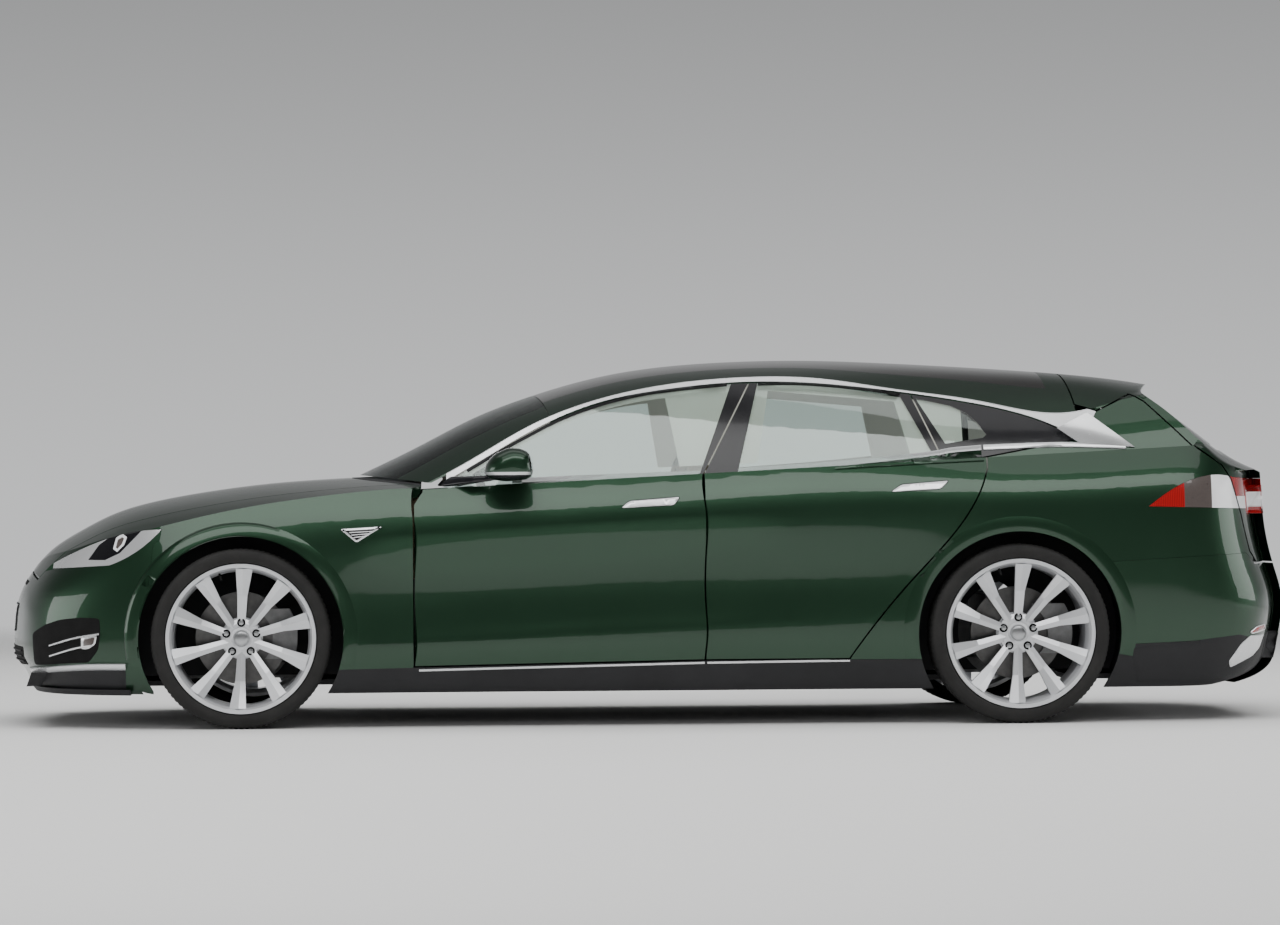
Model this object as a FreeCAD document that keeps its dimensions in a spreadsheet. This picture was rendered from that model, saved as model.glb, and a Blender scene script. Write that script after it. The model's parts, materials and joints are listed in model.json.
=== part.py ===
import FreeCAD, Part
import Sketcher
import math
import os

V = FreeCAD.Vector
os.makedirs("parts", exist_ok=True)
doc = FreeCAD.newDocument("estate_car")

# Driving dimensions, millimetres and degrees. X runs rearwards, Y to the car's right, Z up;
# the origin is on the floor under the middle of the car.
sheet = doc.addObject("Spreadsheet::Sheet", "sizes")
SIZES = {
    "wheelbase": 2960,
    "front_overhang": 919,
    "rear_overhang": 1081,
    "body_width": 1964,
    "roof_height": 1404,
    "front_track": 1662,
    "rear_track": 1700,
    "tyre_radius": 342,
    "rim_radius": 284,
    "front_tyre_width": 245,
    "rear_tyre_width": 265,
    "tyre_wall": 11,
    "arch_radius": 388,
    "well_radius": 428,
    "well_inner": 500,
    "lip_depth": 110,
    "liner_wall": 5,
    "door_wall": 86,
    "fender_wall": 40,
    "bumper_wall": 54,
    "lid_wall": 40,
    "pillar_wall": 40,
    "roof_wall": 24,
    "lamp_depth": 70,
    "glass_wall": 6,
    "trim_wall": 6,
    "layer_gap": 3,
    "shut_gap": 6,
    "floor_top": 250,
    "floor_bottom": 150,
    "floor_wall": 20,
    "kingpin_offset": 95,
    "hub_face": 34,
    "disc_radius": 176,
    "disc_wall": 28,
    "hub_radius": 74,
    "barrel_wall": 7,
    "spoke_count": 10,
    "pin_radius": 9,
    "pin_clearance": 0.05,
    "hinge_inset": 34,
    "hinge_back": 62,
    "steering_wheel_radius": 180,
    "cabin_width": 1430,
    "seat_width": 520,
    "bench_width": 1290,
    "seat_spacing": 740,
}
for row, (alias, value) in enumerate(SIZES.items(), start=1):
    sheet.set("A%d" % row, alias)
    sheet.set("B%d" % row, str(value))
    sheet.setAlias("B%d" % row, alias)
doc.recompute()


def size(alias):
    return float(sheet.get(alias))


car_length = size("front_overhang") + size("wheelbase") + size("rear_overhang")
front_axle = -car_length / 2 + size("front_overhang")
rear_axle = front_axle + size("wheelbase")
mid_wheelbase = (front_axle + rear_axle) / 2
half_width = size("body_width") / 2
hub_height = size("tyre_radius")
roof_height = size("roof_height")
gap = size("shut_gap")
reach = 1300
far = 4 * reach


def front(dx):
    return front_axle + dx


def middle(dx):
    return mid_wheelbase + dx


def rear(dx):
    return rear_axle + dx


# ---- skinned surfaces ------------------------------------------------------
def spread(rows):
    """Shared parameters for rows of points, from their mean spacing."""
    steps = [sum(row[i].distanceToPoint(row[i + 1]) for row in rows) for i in range(len(rows[0]) - 1)]
    marks = [0.0]
    for step in steps:
        marks.append(marks[-1] + step / sum(steps))
    marks[-1] = 1.0
    return marks


def skin(rows, start=None, end=None):
    """A face through rows of points, smooth both ways; start and end fix each row's tangents."""
    along, across = spread(rows), spread([list(column) for column in zip(*rows)])
    tangents = {"InitialTangent": start, "FinalTangent": end} if start else {}
    curve, poles = Part.BSplineCurve(), []
    for row in rows:
        curve.interpolate(Points=row, Parameters=along, **tangents)
        poles.append(curve.getPoles())
    knots, repeats = curve.getKnots(), curve.getMultiplicities()
    grid = []
    for column in zip(*poles):
        curve.interpolate(Points=list(column), Parameters=across)
        grid.append(curve.getPoles())
    surface = Part.BSplineSurface()
    surface.buildFromPolesMultsKnots(grid, repeats, curve.getMultiplicities(), knots,
                                     curve.getKnots(), False, False, 3, 3)
    return surface.toShape()


def mirrored(shape):
    return shape.mirror(V(0, 0, 0), V(0, 1, 0))


# The body is worked out on its right half and mirrored. Lower body: plan outlines at nine
# heights. Columns: height at the middle of the car, rise per metre rearwards, nose set-back,
# tail set-forward, then how far the side stands inside half the body width at seven stations
# from the front corner to the rear corner.
LEVELS = [
    (132, 0, 120, 190, 132, 77, 102, 102, 102, 77, 122),
    (185, 10, 72, 48, 97, 37, 67, 67, 67, 32, 87),
    (242, 16, 52, 26, 72, 20, 50, 50, 47, 14, 62),
    (341, 34, 14, 3, 54, 10, 33, 31, 29, 4, 42),
    (480, 42, 8, 34, 52, 9, 44, 42, 36, 0, 36),
    (640, 50, 36, 74, 66, 16, 41, 37, 29, 2, 40),
    (800, 58, 134, 87, 108, 44, 37, 32, 32, 22, 66),
    (950, 51, 262, 118, 190, 112, 100, 94, 98, 110, 158),
    (1100, 51, 430, 240, 300, 215, 190, 180, 185, 205, 262),
]
BELT = (947, 51)
# Round the corners: share of the half-width at the nearest station, set-back from the end.
NOSE_CORNER = ((0.46, 46), (0.815, 196))
TAIL_CORNER = ((0.48, 26), (0.834, 132))
# An inner solid needs fewer levels, runs past the outer one's floor and top, and starts beyond
# the centreline, so that no two faces lie in one plane.
INNER_LEVELS = (0, 2, 4, 6, 8)
OVERRUN = 24


def side_stations():
    return [front(-389), front(0), front(661), middle(281), rear(-499), rear(0), rear(501)]


def outline_points(level, inset, lift, start):
    height, rise, nose, tail = level[:4]
    nose_x = -car_length / 2 + nose + inset
    tail_x = car_length / 2 - tail - inset
    widths = [half_width - tuck for tuck in level[4:]]
    points = [(nose_x, start)]
    points += [(nose_x + back, widths[0] * share - inset) for share, back in NOSE_CORNER]
    points += [(x, width - inset) for x, width in zip(side_stations(), widths)]
    points += [(tail_x - back, widths[-1] * share - inset) for share, back in reversed(TAIL_CORNER)]
    points += [(tail_x, start)]
    return [V(x, y, height + rise * x / 1000 + lift) for x, y in points]


def nearest_edge(face, point):
    mark = Part.Vertex(point)
    return min(face.Edges, key=lambda edge: edge.distToShape(mark)[0])


def lower_body(inset=0):
    """The right half inside the body's side, nose and tail, all drawn in by inset."""
    if inset:
        lifts = {0: -OVERRUN, len(LEVELS) - 1: OVERRUN}
        rows = [outline_points(LEVELS[i], inset, lifts.get(i, 0), -OVERRUN) for i in INNER_LEVELS]
    else:
        rows = [outline_points(level, 0, 0, 0) for level in LEVELS]
    side = skin(rows, V(0, 1, 0), V(0, -1, 0))
    low, high = rows[0], rows[-1]
    middle_row = rows[len(rows) // 2]
    lower_edge, upper_edge = nearest_edge(side, low[5]), nearest_edge(side, high[5])
    nose_edge, tail_edge = nearest_edge(side, middle_row[0]), nearest_edge(side, middle_row[-1])
    floor_line, top_line = Part.makeLine(low[0], low[-1]), Part.makeLine(high[0], high[-1])
    caps = [Part.Face(Part.Wire(Part.__sortEdges__(edges))) for edges in (
        [lower_edge, floor_line], [upper_edge, top_line],
        [nose_edge, floor_line, tail_edge, top_line])]
    shell = Part.makeShell([side] + caps)
    shell.sewShape()
    return Part.makeSolid(shell)


# Glasshouse side, same columns without nose and tail: height, rise, then eight stations.
GLASSHOUSE = [
    (840, 51, 267, 157, 107, 86, 92, 119, 187, 260),
    (935, 51, 282, 182, 134, 114, 120, 147, 212, 282),
    (1130, 30, 342, 262, 214, 196, 206, 240, 292, 352),
    (1420, 0, 492, 417, 382, 366, 382, 414, 464, 512),
]


def glasshouse(inset=0):
    """The space inboard of the right glasshouse side, drawn in by inset."""
    stations = [front(361), front(761), front(1161), middle(281),
                rear(-499), rear(0), rear(501), rear(1200)]
    rows = [[V(x, half_width - tuck - inset, level[0] + level[1] * x / 1000)
             for x, tuck in zip(stations, level[2:])] for level in GLASSHOUSE]
    return skin(rows).extrude(V(0, -reach, 0))


# Sheets crowned across the car. Columns: place, how far below the roof's highest point the
# centreline runs, and how much lower still the sheet is at the reference half-width.
CROWN_WIDTH = 900
ROOF = [
    (front(261), 538, 250), (front(446), 444, 232), (front(669), 337, 218),
    (front(893), 223, 213), (front(1116), 138, 168), (front(1396), 60, 146),
    (middle(84), 31, 140), (middle(400), 5, 132), (middle(750), 0, 150),
    (rear(-477), 9, 192), (rear(-135), 28, 235), (rear(242), 55, 262),
    (rear(603), 101, 95), (rear(760), 136, 60), (rear(1000), 200, 60),
]
BONNET = [
    (front(-980), 915, 150), (front(-850), 821, 165), (front(-768), 732, 165),
    (front(-658), 659, 155), (front(-516), 588, 135), (front(-331), 536, 115),
    (front(-113), 499, 95), (front(105), 473, 80), (front(323), 458, 66),
    (front(500), 450, 56), (front(900), 452, 52),
]
# The tail sheet is crowned in plan: height, set-forward from the tail, sweep at the sides.
TAIL = [
    (1440, 425, 290), (1340, 455, 280), (1290, 487, 210), (1246, 512, 75), (1205, 455, 75),
    (1122, 312, 150), (1035, 190, 185), (985, 100, 220), (940, -30, 240), (880, -230, 240),
]
ACROSS = (-0.12, 0.3, 0.72, 1.15)


def under_sheet(table, drop=0):
    """The space below a crowned sheet that is lowered by drop."""
    rows = [[V(x, t * CROWN_WIDTH, roof_height - below - fall * t * t - drop) for t in ACROSS]
            for x, below, fall in table]
    return skin(rows).extrude(V(0, 0, -2 * reach))


def behind_tail(inset=0):
    """What lies behind the tail sheet drawn in by inset."""
    rows = [[V(car_length / 2 - forward - sweep * t * t - inset, t * CROWN_WIDTH, height)
             for t in ACROSS] for height, forward, sweep in TAIL]
    return skin(rows).extrude(V(2 * car_length, 0, 0))


# ---- cutters, all on the right half ----------------------------------------
def outline_face(runs, place):
    """A flat face bounded by runs of points: two points are a line, more are one curve."""
    edges = []
    for run in runs:
        points = [place(a, b) for a, b in run]
        if len(points) == 2:
            edges.append(Part.makeLine(points[0], points[1]))
        else:
            curve = Part.BSplineCurve()
            curve.interpolate(Points=points)
            edges.append(curve.toShape())
    return Part.Face(Part.Wire(edges))


def polygon(*points):
    return [(points[i], points[(i + 1) % len(points)]) for i in range(len(points))]


def side_prism(runs, inner=-OVERRUN):
    """A side-view outline carried outwards from inner."""
    return outline_face(runs, lambda x, z: V(x, inner, z)).extrude(V(0, reach - inner, 0))


def plan_prism(runs, low=0, high=1600):
    return outline_face(runs, lambda x, y: V(x, y, low)).extrude(V(0, 0, high - low))


def slab(x0=-far, x1=far, y0=-OVERRUN, y1=reach, z0=-10, z1=1700):
    return Part.makeBox(x1 - x0, y1 - y0, z1 - z0, V(x0, y0, z0))


def axle_cylinder(x, radius, inner, outer):
    return Part.makeCylinder(radius, outer - inner, V(x, inner, hub_height), V(0, 1, 0))


def grown(runs, amount):
    """The same runs with every point moved out square to the outline by amount."""
    points = [point for run in runs for point in run[:-1]]
    count = len(points)
    area = sum(points[i][0] * points[(i + 1) % count][1] - points[(i + 1) % count][0] * points[i][1]
               for i in range(count))
    turn = amount if area > 0 else -amount
    moved = []
    for i, (a, b) in enumerate(points):
        before, after = points[i - 1], points[(i + 1) % count]
        normals = []
        for p, q in ((before, (a, b)), ((a, b), after)):
            length = math.hypot(q[0] - p[0], q[1] - p[1])
            normals.append(((q[1] - p[1]) / length, (p[0] - q[0]) / length))
        (na, nb), (ma, mb) = normals
        share = turn / (1 + na * ma + nb * mb)
        moved.append((a + (na + ma) * share, b + (nb + mb) * share))
    result, at = [], 0
    for run in runs:
        span = len(run) - 1
        result.append([moved[(at + i) % count] for i in range(span + 1)])
        at += span
    return result


def grown_prism(runs, amount, inner=-OVERRUN):
    return side_prism(grown(runs, amount), inner)


def cut_all(shape, *rooms):
    for room in rooms:
        shape = shape.cut(room)
    return shape


def whole(shape):
    """The shape without the crumbs that a cut along a shallow curve can leave."""
    solids = shape.Solids
    least = max(solid.Volume for solid in solids) / 60
    kept = [solid for solid in solids if solid.Volume > least]
    return kept[0] if len(kept) == 1 else Part.makeCompound(kept)


# ---- outlines in side view -------------------------------------------------
door_front_shut = front(658)
door_mid_shut = middle(284)

front_door_outline = polygon(
    (door_front_shut, 234), (door_mid_shut, 252), (door_mid_shut, 1030), (front(700), 985),
    (front(690), 893), (door_front_shut, 845))
rear_door_outline = [
    [(door_mid_shut, 252), (rear(-652), 252)],
    [(rear(-652), 252), (rear(-570), 365), (rear(-406), 559), (rear(-241), 744), (rear(-148), 896),
     (rear(-120), 976)],
    [(rear(-120), 976), (rear(-120), 1080)],
    [(rear(-120), 1080), (door_mid_shut, 1080)],
    [(door_mid_shut, 1080), (door_mid_shut, 252)],
]
# Under the bright roof strip, front to rear; the strip widens into a blade at the rear pillar.
RAIL_LOW = [
    (front(782), 936), (front(983), 1054), (front(1197), 1169), (front(1410), 1244),
    (middle(144), 1282), (middle(410), 1308), (middle(642), 1308), (rear(-403), 1264),
    (rear(-143), 1222), (rear(90), 1162), (rear(261), 1078),
]
rear_shut_outline = polygon(
    (rear(251), 1500), (rear(251), 1215), (rear(329), 1190), (rear(469), 1256), (rear(519), 1226),
    (rear(702), 1045), (rear(797), 978), (rear(832), 924), (rear(876), 788), (rear(911), 648),
    (rear(947), 600), (rear(1300), 600), (rear(1300), 1500))
front_bumper_outline = polygon(
    (front(-1100), 100), (front(-330), 100), (front(-352), 520), (front(-331), 700),
    (front(-306), 718), (front(-300), 757), (front(-500), 700), (front(-660), 620),
    (front(-790), 590), (front(-1100), 590))
headlamp_outline = [
    [(front(-728), 628), (front(-610), 684), (front(-450), 739), (front(-300), 757)],
    [(front(-300), 757), (front(-455), 640), (front(-500), 622)],
    [(front(-500), 622), (front(-728), 608)],
    [(front(-728), 608), (front(-728), 628)],
]
rear_bumper_outline = polygon(
    (rear(292), 100), (rear(292), 609), (rear(558), 623), (rear(891), 640), (rear(934), 597),
    (rear(1300), 597), (rear(1300), 100))
diffuser_outline = polygon(
    (rear(280), 0), (rear(280), 292), (rear(940), 318), (rear(1300), 318), (rear(1300), 0))
tail_lamp_outline = [
    [(rear(497), 822), (rear(560), 868), (rear(640), 912), (rear(730), 938), (rear(845), 930)],
    [(rear(845), 930), (rear(1300), 915)],
    [(rear(1300), 915), (rear(1300), 800)],
    [(rear(1300), 800), (rear(497), 822)],
]
sill_outline = polygon((front(250), 0), (rear(-250), 0), (rear(-250), 246), (door_mid_shut, 246),
                       (front(250), 221))

# ---- master volumes --------------------------------------------------------
right_side = slab(y0=0)


def above_belt(drop=0):
    run = 2 * reach
    return side_prism(polygon(
        (-run, BELT[0] - BELT[1] * run / 1000 - drop), (run, BELT[0] + BELT[1] * run / 1000 - drop),
        (run, 1700), (-run, 1700)))


outer_body = lower_body()
nose_body = outer_body.common(under_sheet(BONNET))
body = cut_all(outer_body, above_belt(), behind_tail())
house = cut_all(glasshouse().common(under_sheet(ROOF)).common(right_side), behind_tail())
well_outer = half_width - size("lip_depth")
wheel_space = axle_cylinder(front_axle, size("arch_radius"), size("well_inner"), reach)
wheel_space = wheel_space.fuse([
    axle_cylinder(rear_axle, size("arch_radius"), size("well_inner"), reach),
    axle_cylinder(front_axle, size("well_radius"), size("well_inner"), well_outer),
    axle_cylinder(rear_axle, size("well_radius"), size("well_inner"), well_outer)])


well_rooms = [axle_cylinder(x, size("well_radius") + size("liner_wall") + 3,
                            size("well_inner") - size("liner_wall") - 3, reach)
              for x in (front_axle, rear_axle)]


def lower_shell(wall):
    return body.cut(lower_body(wall))


def nose_shell(wall):
    return nose_body.cut(lower_body(wall).common(under_sheet(BONNET, wall)))


pieces = {}


def pair(label, shape):
    """The piece and its mirror image as two nodes, with a side in each label."""
    pieces[label % "right"] = whole(shape)
    pieces[label % "left"] = mirrored(whole(shape))


def both(label, *shapes):
    """Separate solids on the two sides in one node."""
    solids = [solid for shape in shapes for solid in whole(shape).Solids]
    pieces[label] = Part.makeCompound(solids + [mirrored(solid) for solid in solids])


def across(label, *shapes):
    """Solids that each run across the car, in one node."""
    halves = [whole(shape) for shape in shapes]
    solids = [solid for half in halves for solid in half.fuse(mirrored(half)).Solids]
    pieces[label] = solids[0] if len(solids) == 1 else Part.makeCompound(solids)


# ---- doors -----------------------------------------------------------------
# Each door turns about an upright axis just inside its skin. Its leading edge and the edge it
# leaves are both turned about that axis, so that the gap stays even as it swings.
swing_radius = math.hypot(size("hinge_back"), size("hinge_inset"))
core_radius = swing_radius - gap / 2
room_radius = swing_radius + gap / 2
front_hinge = (door_front_shut + size("hinge_back"), half_width - LEVELS[5][6] - size("hinge_inset"))
rear_hinge = (door_mid_shut + size("hinge_back"), half_width - LEVELS[5][7] - size("hinge_inset"))


def swing_post(axis, radius):
    return Part.makeCylinder(radius, 2 * reach, V(axis[0], axis[1], -10))


def ahead_of_hinge(axis):
    """What a door may not enter: ahead of its axis and outside its own swing."""
    return slab(x1=axis[0]).cut(swing_post(axis, core_radius))


swing_rooms = swing_post(front_hinge, room_radius).fuse(swing_post(rear_hinge, room_radius))
door_shell = lower_shell(size("door_wall"))
front_door = door_shell.common(side_prism(front_door_outline))
front_door = cut_all(front_door, ahead_of_hinge(front_hinge), swing_post(rear_hinge, room_radius))
rear_door = door_shell.common(side_prism(rear_door_outline)).cut(ahead_of_hinge(rear_hinge))
pair("front_%s_door", front_door)
pair("rear_%s_door", rear_door)
front_door_room = grown_prism(front_door_outline, gap)
rear_door_room = grown_prism(rear_door_outline, gap)

# ---- nose ------------------------------------------------------------------
# Bonnet edge in plan, nose to cowl, closed beyond the centreline.
bonnet_tail_x = front(656)
bonnet_front = [(front(-832), -OVERRUN), (front(-826), 250), (front(-790), 500)]
bonnet_side = [(front(-790), 500), (front(-500), 622), (front(-120), 694), (bonnet_tail_x, 745)]
bonnet_back = [(bonnet_tail_x, 745), (front(551), 600), (front(451), 350), (front(411), -OVERRUN)]
bonnet_outline = [bonnet_front, bonnet_side, bonnet_back, [bonnet_back[-1], bonnet_front[0]]]
bonnet_room = plan_prism(grown(bonnet_outline, gap / 2), 420)
bonnet_space = plan_prism(grown(bonnet_outline, -gap / 2), 420)
lid_wall = size("lid_wall")
across("bonnet", nose_body.cut(under_sheet(BONNET, lid_wall)).common(bonnet_space))

cowl_half = half_width - LEVELS[7][6] - size("door_wall") - gap
cowl_back = [(x + gap, y) for x, y in reversed(bonnet_back)]
cowl_front_corner, cowl_tail = (bonnet_tail_x + gap, cowl_half), front(860)
cowl_space = plan_prism([
    cowl_back, [cowl_back[-1], cowl_front_corner], [cowl_front_corner, (cowl_tail, cowl_half)],
    [(cowl_tail, cowl_half), (cowl_tail, -OVERRUN)], [(cowl_tail, -OVERRUN), cowl_back[0]]], 700)
sill_space = side_prism(sill_outline)
headlamp_room = grown_prism(headlamp_outline, 1)
front_bumper_room = grown_prism(front_bumper_outline, 1)
fender = nose_shell(size("fender_wall")).common(slab(x1=front_hinge[0]))
both("front_fenders", cut_all(fender, bonnet_room, front_bumper_room, headlamp_room, wheel_space,
                              swing_rooms, sill_space, front_door_room, cowl_space))
bumper = nose_shell(size("bumper_wall")).common(side_prism(front_bumper_outline))
across("front_bumper", cut_all(bumper, bonnet_room, headlamp_room, wheel_space))
headlamp = nose_shell(size("lamp_depth")).common(side_prism(headlamp_outline)).cut(bonnet_room)
both("headlamps", headlamp.cut(slab(y1=430)))
cowl = nose_shell(lid_wall).common(cowl_space)
across("cowl_panel", cut_all(cowl, front_door_room, swing_rooms, sill_space))

# ---- sides and tail --------------------------------------------------------
tailgate_room = grown_prism(rear_shut_outline, gap / 2)
tailgate_space = grown_prism(rear_shut_outline, -gap / 2)
lamp_inner_end = 330
tail_lamp_room = grown_prism(tail_lamp_outline, 1, lamp_inner_end)
sill = door_shell.common(sill_space).cut(wheel_space)
both("sill_covers", sill)
bumper_shell = lower_shell(size("bumper_wall")).common(side_prism(rear_bumper_outline)).cut(wheel_space)
across("rear_bumper", bumper_shell.cut(side_prism(diffuser_outline)))
diffuser = lower_shell(size("bumper_wall")).common(grown_prism(diffuser_outline, -1))
across("diffuser", diffuser.cut(wheel_space))
tail_lamp = lower_shell(size("lamp_depth")).common(side_prism(tail_lamp_outline))
both("tail_lamps", tail_lamp.cut(tailgate_room))
both("tailgate_lamps", tail_lamp.common(tailgate_space).cut(slab(y1=lamp_inner_end + 1)))

body_side = cut_all(door_shell.common(slab(x0=middle(500))), swing_rooms, front_door_room,
                    rear_door_room, tailgate_room, grown_prism(rear_bumper_outline, 1),
                    tail_lamp_room, wheel_space, grown_prism(sill_outline, 1),
                    slab(x0=rear(926), z1=660))

# ---- glasshouse ------------------------------------------------------------
glass_wall, trim_wall, roof_wall = size("glass_wall"), size("trim_wall"), size("roof_wall")
skin_depth = trim_wall + 1
side_layer = house.cut(glasshouse(glass_wall))
inside_trim = glasshouse(skin_depth)
screen_outline = [
    [(front(150), -OVERRUN), (front(150), 900)],
    [(front(150), 900), (front(1190), 900)],
    [(front(1190), 900), (front(1155), 450), (front(1116), -OVERRUN)],
    [(front(1116), -OVERRUN), (front(150), -OVERRUN)],
]
screen = house.cut(under_sheet(ROOF, glass_wall)).common(inside_trim).common(plan_prism(screen_outline))
across("windscreen", cut_all(screen, under_sheet(BONNET, -8), bonnet_room))
roof = house.cut(under_sheet(ROOF, roof_wall)).common(inside_trim)
roof = roof.cut(slab(x0=rear(251) - gap / 2))
across("roof_panel", cut_all(roof, plan_prism(grown(screen_outline, gap / 2))))

blade_tip, blade_foot = (rear(330), 1194), (rear(252), 1215)
rail_outline = [
    RAIL_LOW, [RAIL_LOW[-1], blade_tip], [blade_tip, blade_foot],
    [blade_foot, (blade_foot[0], 1600)], [(blade_foot[0], 1600), (front(782), 1600)],
    [(front(782), 1600), RAIL_LOW[0]],
]
both("roof_rails", side_layer.common(side_prism(rail_outline)).cut(tailgate_room))
glass_outline = [
    RAIL_LOW, [RAIL_LOW[-1], (rear(184), 1066)], [(rear(184), 1066), (rear(-500), 940)],
    [(rear(-500), 940), (front(782), 880)], [(front(782), 880), RAIL_LOW[0]],
]
glass_low, glass_high = 850, 1350


def lean(low, top, offset):
    """A line that leans from low at z 960 to top at z 1310, shifted by offset."""
    slope = (top - low) / 350
    return (low - 110 * slope + offset, glass_low), (top + 40 * slope + offset, glass_high)


def between(ahead, behind):
    return side_prism(polygon(ahead[0], behind[0], behind[1], ahead[1]))


split = (door_mid_shut, middle(470))
quarter = (rear(-262), rear(-415))
panes = side_layer.common(grown_prism(glass_outline, -gap)).cut(body)
pair("front_%s_glass", panes.common(between(lean(front(700), front(700), 0),
                                            lean(*split, -gap / 2))))
pair("rear_%s_glass", panes.common(between(lean(*split, gap / 2), lean(*quarter, -gap / 2))))
both("quarter_windows", panes.common(between(lean(*quarter, gap / 2),
                                             lean(rear(400), rear(400), 0))))

# The quarter panel runs up behind the last pane to the roof.
pillar_band = house.cut(glasshouse(size("pillar_wall"))).common(slab(x0=rear(-230), x1=rear(900)))
pillar = pillar_band.common(under_sheet(ROOF, roof_wall + 2))
pillar = pillar.fuse(pillar_band.common(slab(x0=blade_foot[0])))
pillar = cut_all(pillar, tailgate_room, side_prism(glass_outline), grown_prism(rail_outline, 1),
                 tail_lamp_room, body)
both("body_sides", body_side, pillar)

# Frame behind the doors: sill, hinge pillar, centre pillar and roof rail.
inner_skin = size("door_wall") + size("layer_gap")
frame_low = lower_body(inner_skin).common(body).cut(lower_body(inner_skin + size("pillar_wall")))
frame_low = frame_low.common(slab(x0=front_hinge[0] - 30, x1=rear(-30), z0=size("floor_bottom")))
frame_low = cut_all(frame_low, slab(door_front_shut + 165, door_mid_shut - 60, z0=330),
                    slab(door_mid_shut + 130, rear(-470), z0=340), swing_rooms, *well_rooms)
# Room under each pane's front foot, which sweeps over the frame as its door opens.
frame_low = cut_all(frame_low, slab(front(768), front(866), z0=901), slab(middle(312), middle(392), z0=950))
frame_depth = skin_depth + 2 * gap
frame_top = glasshouse(frame_depth).common(under_sheet(ROOF, roof_wall + 3)).common(right_side)
frame_top = frame_top.cut(glasshouse(frame_depth + size("pillar_wall")))
frame_top = frame_top.common(side_prism(polygon(
    (front(700), 945), (front(700), 1600), (rear(-200), 1600), (rear(-200), 1030))))
rail_under = 34
front_window = [
    [(x, z - rail_under) for x, z in RAIL_LOW[:5]],
    [(RAIL_LOW[4][0], RAIL_LOW[4][1] - rail_under), (split[0] - 40, 700)],
    [(split[0] - 40, 700), (front(782), 700)],
    [(front(782), 700), (RAIL_LOW[0][0], RAIL_LOW[0][1] - rail_under)],
]
rear_window = polygon(
    (split[0] + 150, 700), (split[1] + 70, RAIL_LOW[6][1] - rail_under),
    (quarter[1] - 40, RAIL_LOW[7][1] - rail_under), (quarter[0] - 60, 700))
hinge_relief = slab(middle(296), middle(424)).cut(glasshouse(frame_depth + 8))
frame_top = cut_all(frame_top, side_prism(front_window), side_prism(rear_window), tailgate_room, body,
                    hinge_relief)
both("body_frame", frame_low, frame_top)

# Tailgate: roof end, glass and lower panel that swing up together.
lower_core = cut_all(lower_body(lid_wall), behind_tail(lid_wall), above_belt(lid_wall))
upper_core = cut_all(glasshouse(lid_wall).common(under_sheet(ROOF, lid_wall)), behind_tail(lid_wall))
tailgate = body.common(tailgate_space).fuse(house.common(tailgate_space))
tailgate = cut_all(tailgate, lower_core, upper_core, tail_lamp_room)
window = slab(y1=560, z0=1062, z1=1214).common(behind_tail(3 * lid_wall))
pane_room = slab(y1=603, z0=1037, z1=1235).common(behind_tail(glass_wall + 1))
across("tailgate", cut_all(tailgate, window, pane_room))
pane = house.common(behind_tail(glass_wall)).common(slab(y1=600, z0=1040, z1=1232))
across("tailgate_glass", pane.cut(body))

# ---- sketched and primitive pieces -----------------------------------------
FRONT_X = "(sizes.front_overhang - sizes.wheelbase - sizes.rear_overhang) / 2"
REAR_X = "(sizes.front_overhang + sizes.wheelbase - sizes.rear_overhang) / 2"
FRONT_Y = "sizes.front_track / 2"
REAR_Y = "sizes.rear_track / 2"
HUB_Z = "sizes.tyre_radius"
NAMES = {
    "rim": "sizes.rim_radius", "tread": "sizes.tyre_radius", "wall": "sizes.tyre_wall",
    "barrel": "sizes.barrel_wall", "hub": "sizes.hub_radius", "face": "sizes.hub_face",
    "disc": "sizes.disc_radius", "thick": "sizes.disc_wall",
}


def bind(item, **expressions):
    """Tie an object's sizes to expressions; place_x and so on tie its position."""
    for name, text in expressions.items():
        path = "Placement.Base." + name[-1] if name.startswith("place_") else name
        item.setExpression(path, text)
    return item


def sketch_on(body, role, lift=None):
    """A new sketch on one of the body's own planes, lifted off it by an expression."""
    plane = [item for item in body.Origin.OriginFeatures if item.Role == role][0]
    sketch = body.newObject("Sketcher::SketchObject", body.Name + "_sketch")
    sketch.AttachmentSupport = [(plane, "")]
    sketch.MapMode = "FlatFace"
    if lift:
        sketch.setExpression("AttachmentOffset.Base.z", lift)
    return sketch


def draw(sketch, corners, **names):
    """A closed outline in a sketch whose corners are pairs of expressions from its origin."""
    count = len(corners)
    names = dict(NAMES, **names)
    for i in range(count):
        turn, after = 2 * math.pi * i / count, 2 * math.pi * (i + 1) / count
        sketch.addGeometry(Part.LineSegment(V(90 * math.cos(turn), 90 * math.sin(turn), 0),
                                            V(90 * math.cos(after), 90 * math.sin(after), 0)))
    for i in range(count):
        sketch.addConstraint(Sketcher.Constraint("Coincident", i, 2, (i + 1) % count, 1))
    for i, corner in enumerate(corners):
        for kind, text in zip(("DistanceX", "DistanceY"), corner):
            index = sketch.addConstraint(Sketcher.Constraint(kind, -1, 1, i, 1, 1.0))
            sketch.setExpression("Constraints[%d]" % index, text.format(**names))
    return sketch


def new_body(label):
    body = doc.addObject("PartDesign::Body", label)
    body.Label = label
    return body


def lathe(label, corners, **names):
    """A body turned about its own Y axis from corners of (outboard, radius)."""
    body = new_body(label)
    sketch = draw(sketch_on(body, "YZ_Plane"), corners, **names)
    turned = body.newObject("PartDesign::Revolution", label + "_turned")
    turned.Profile = sketch
    turned.ReferenceAxis = (sketch, ["H_Axis"])
    turned.Angle = 360
    return body


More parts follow.
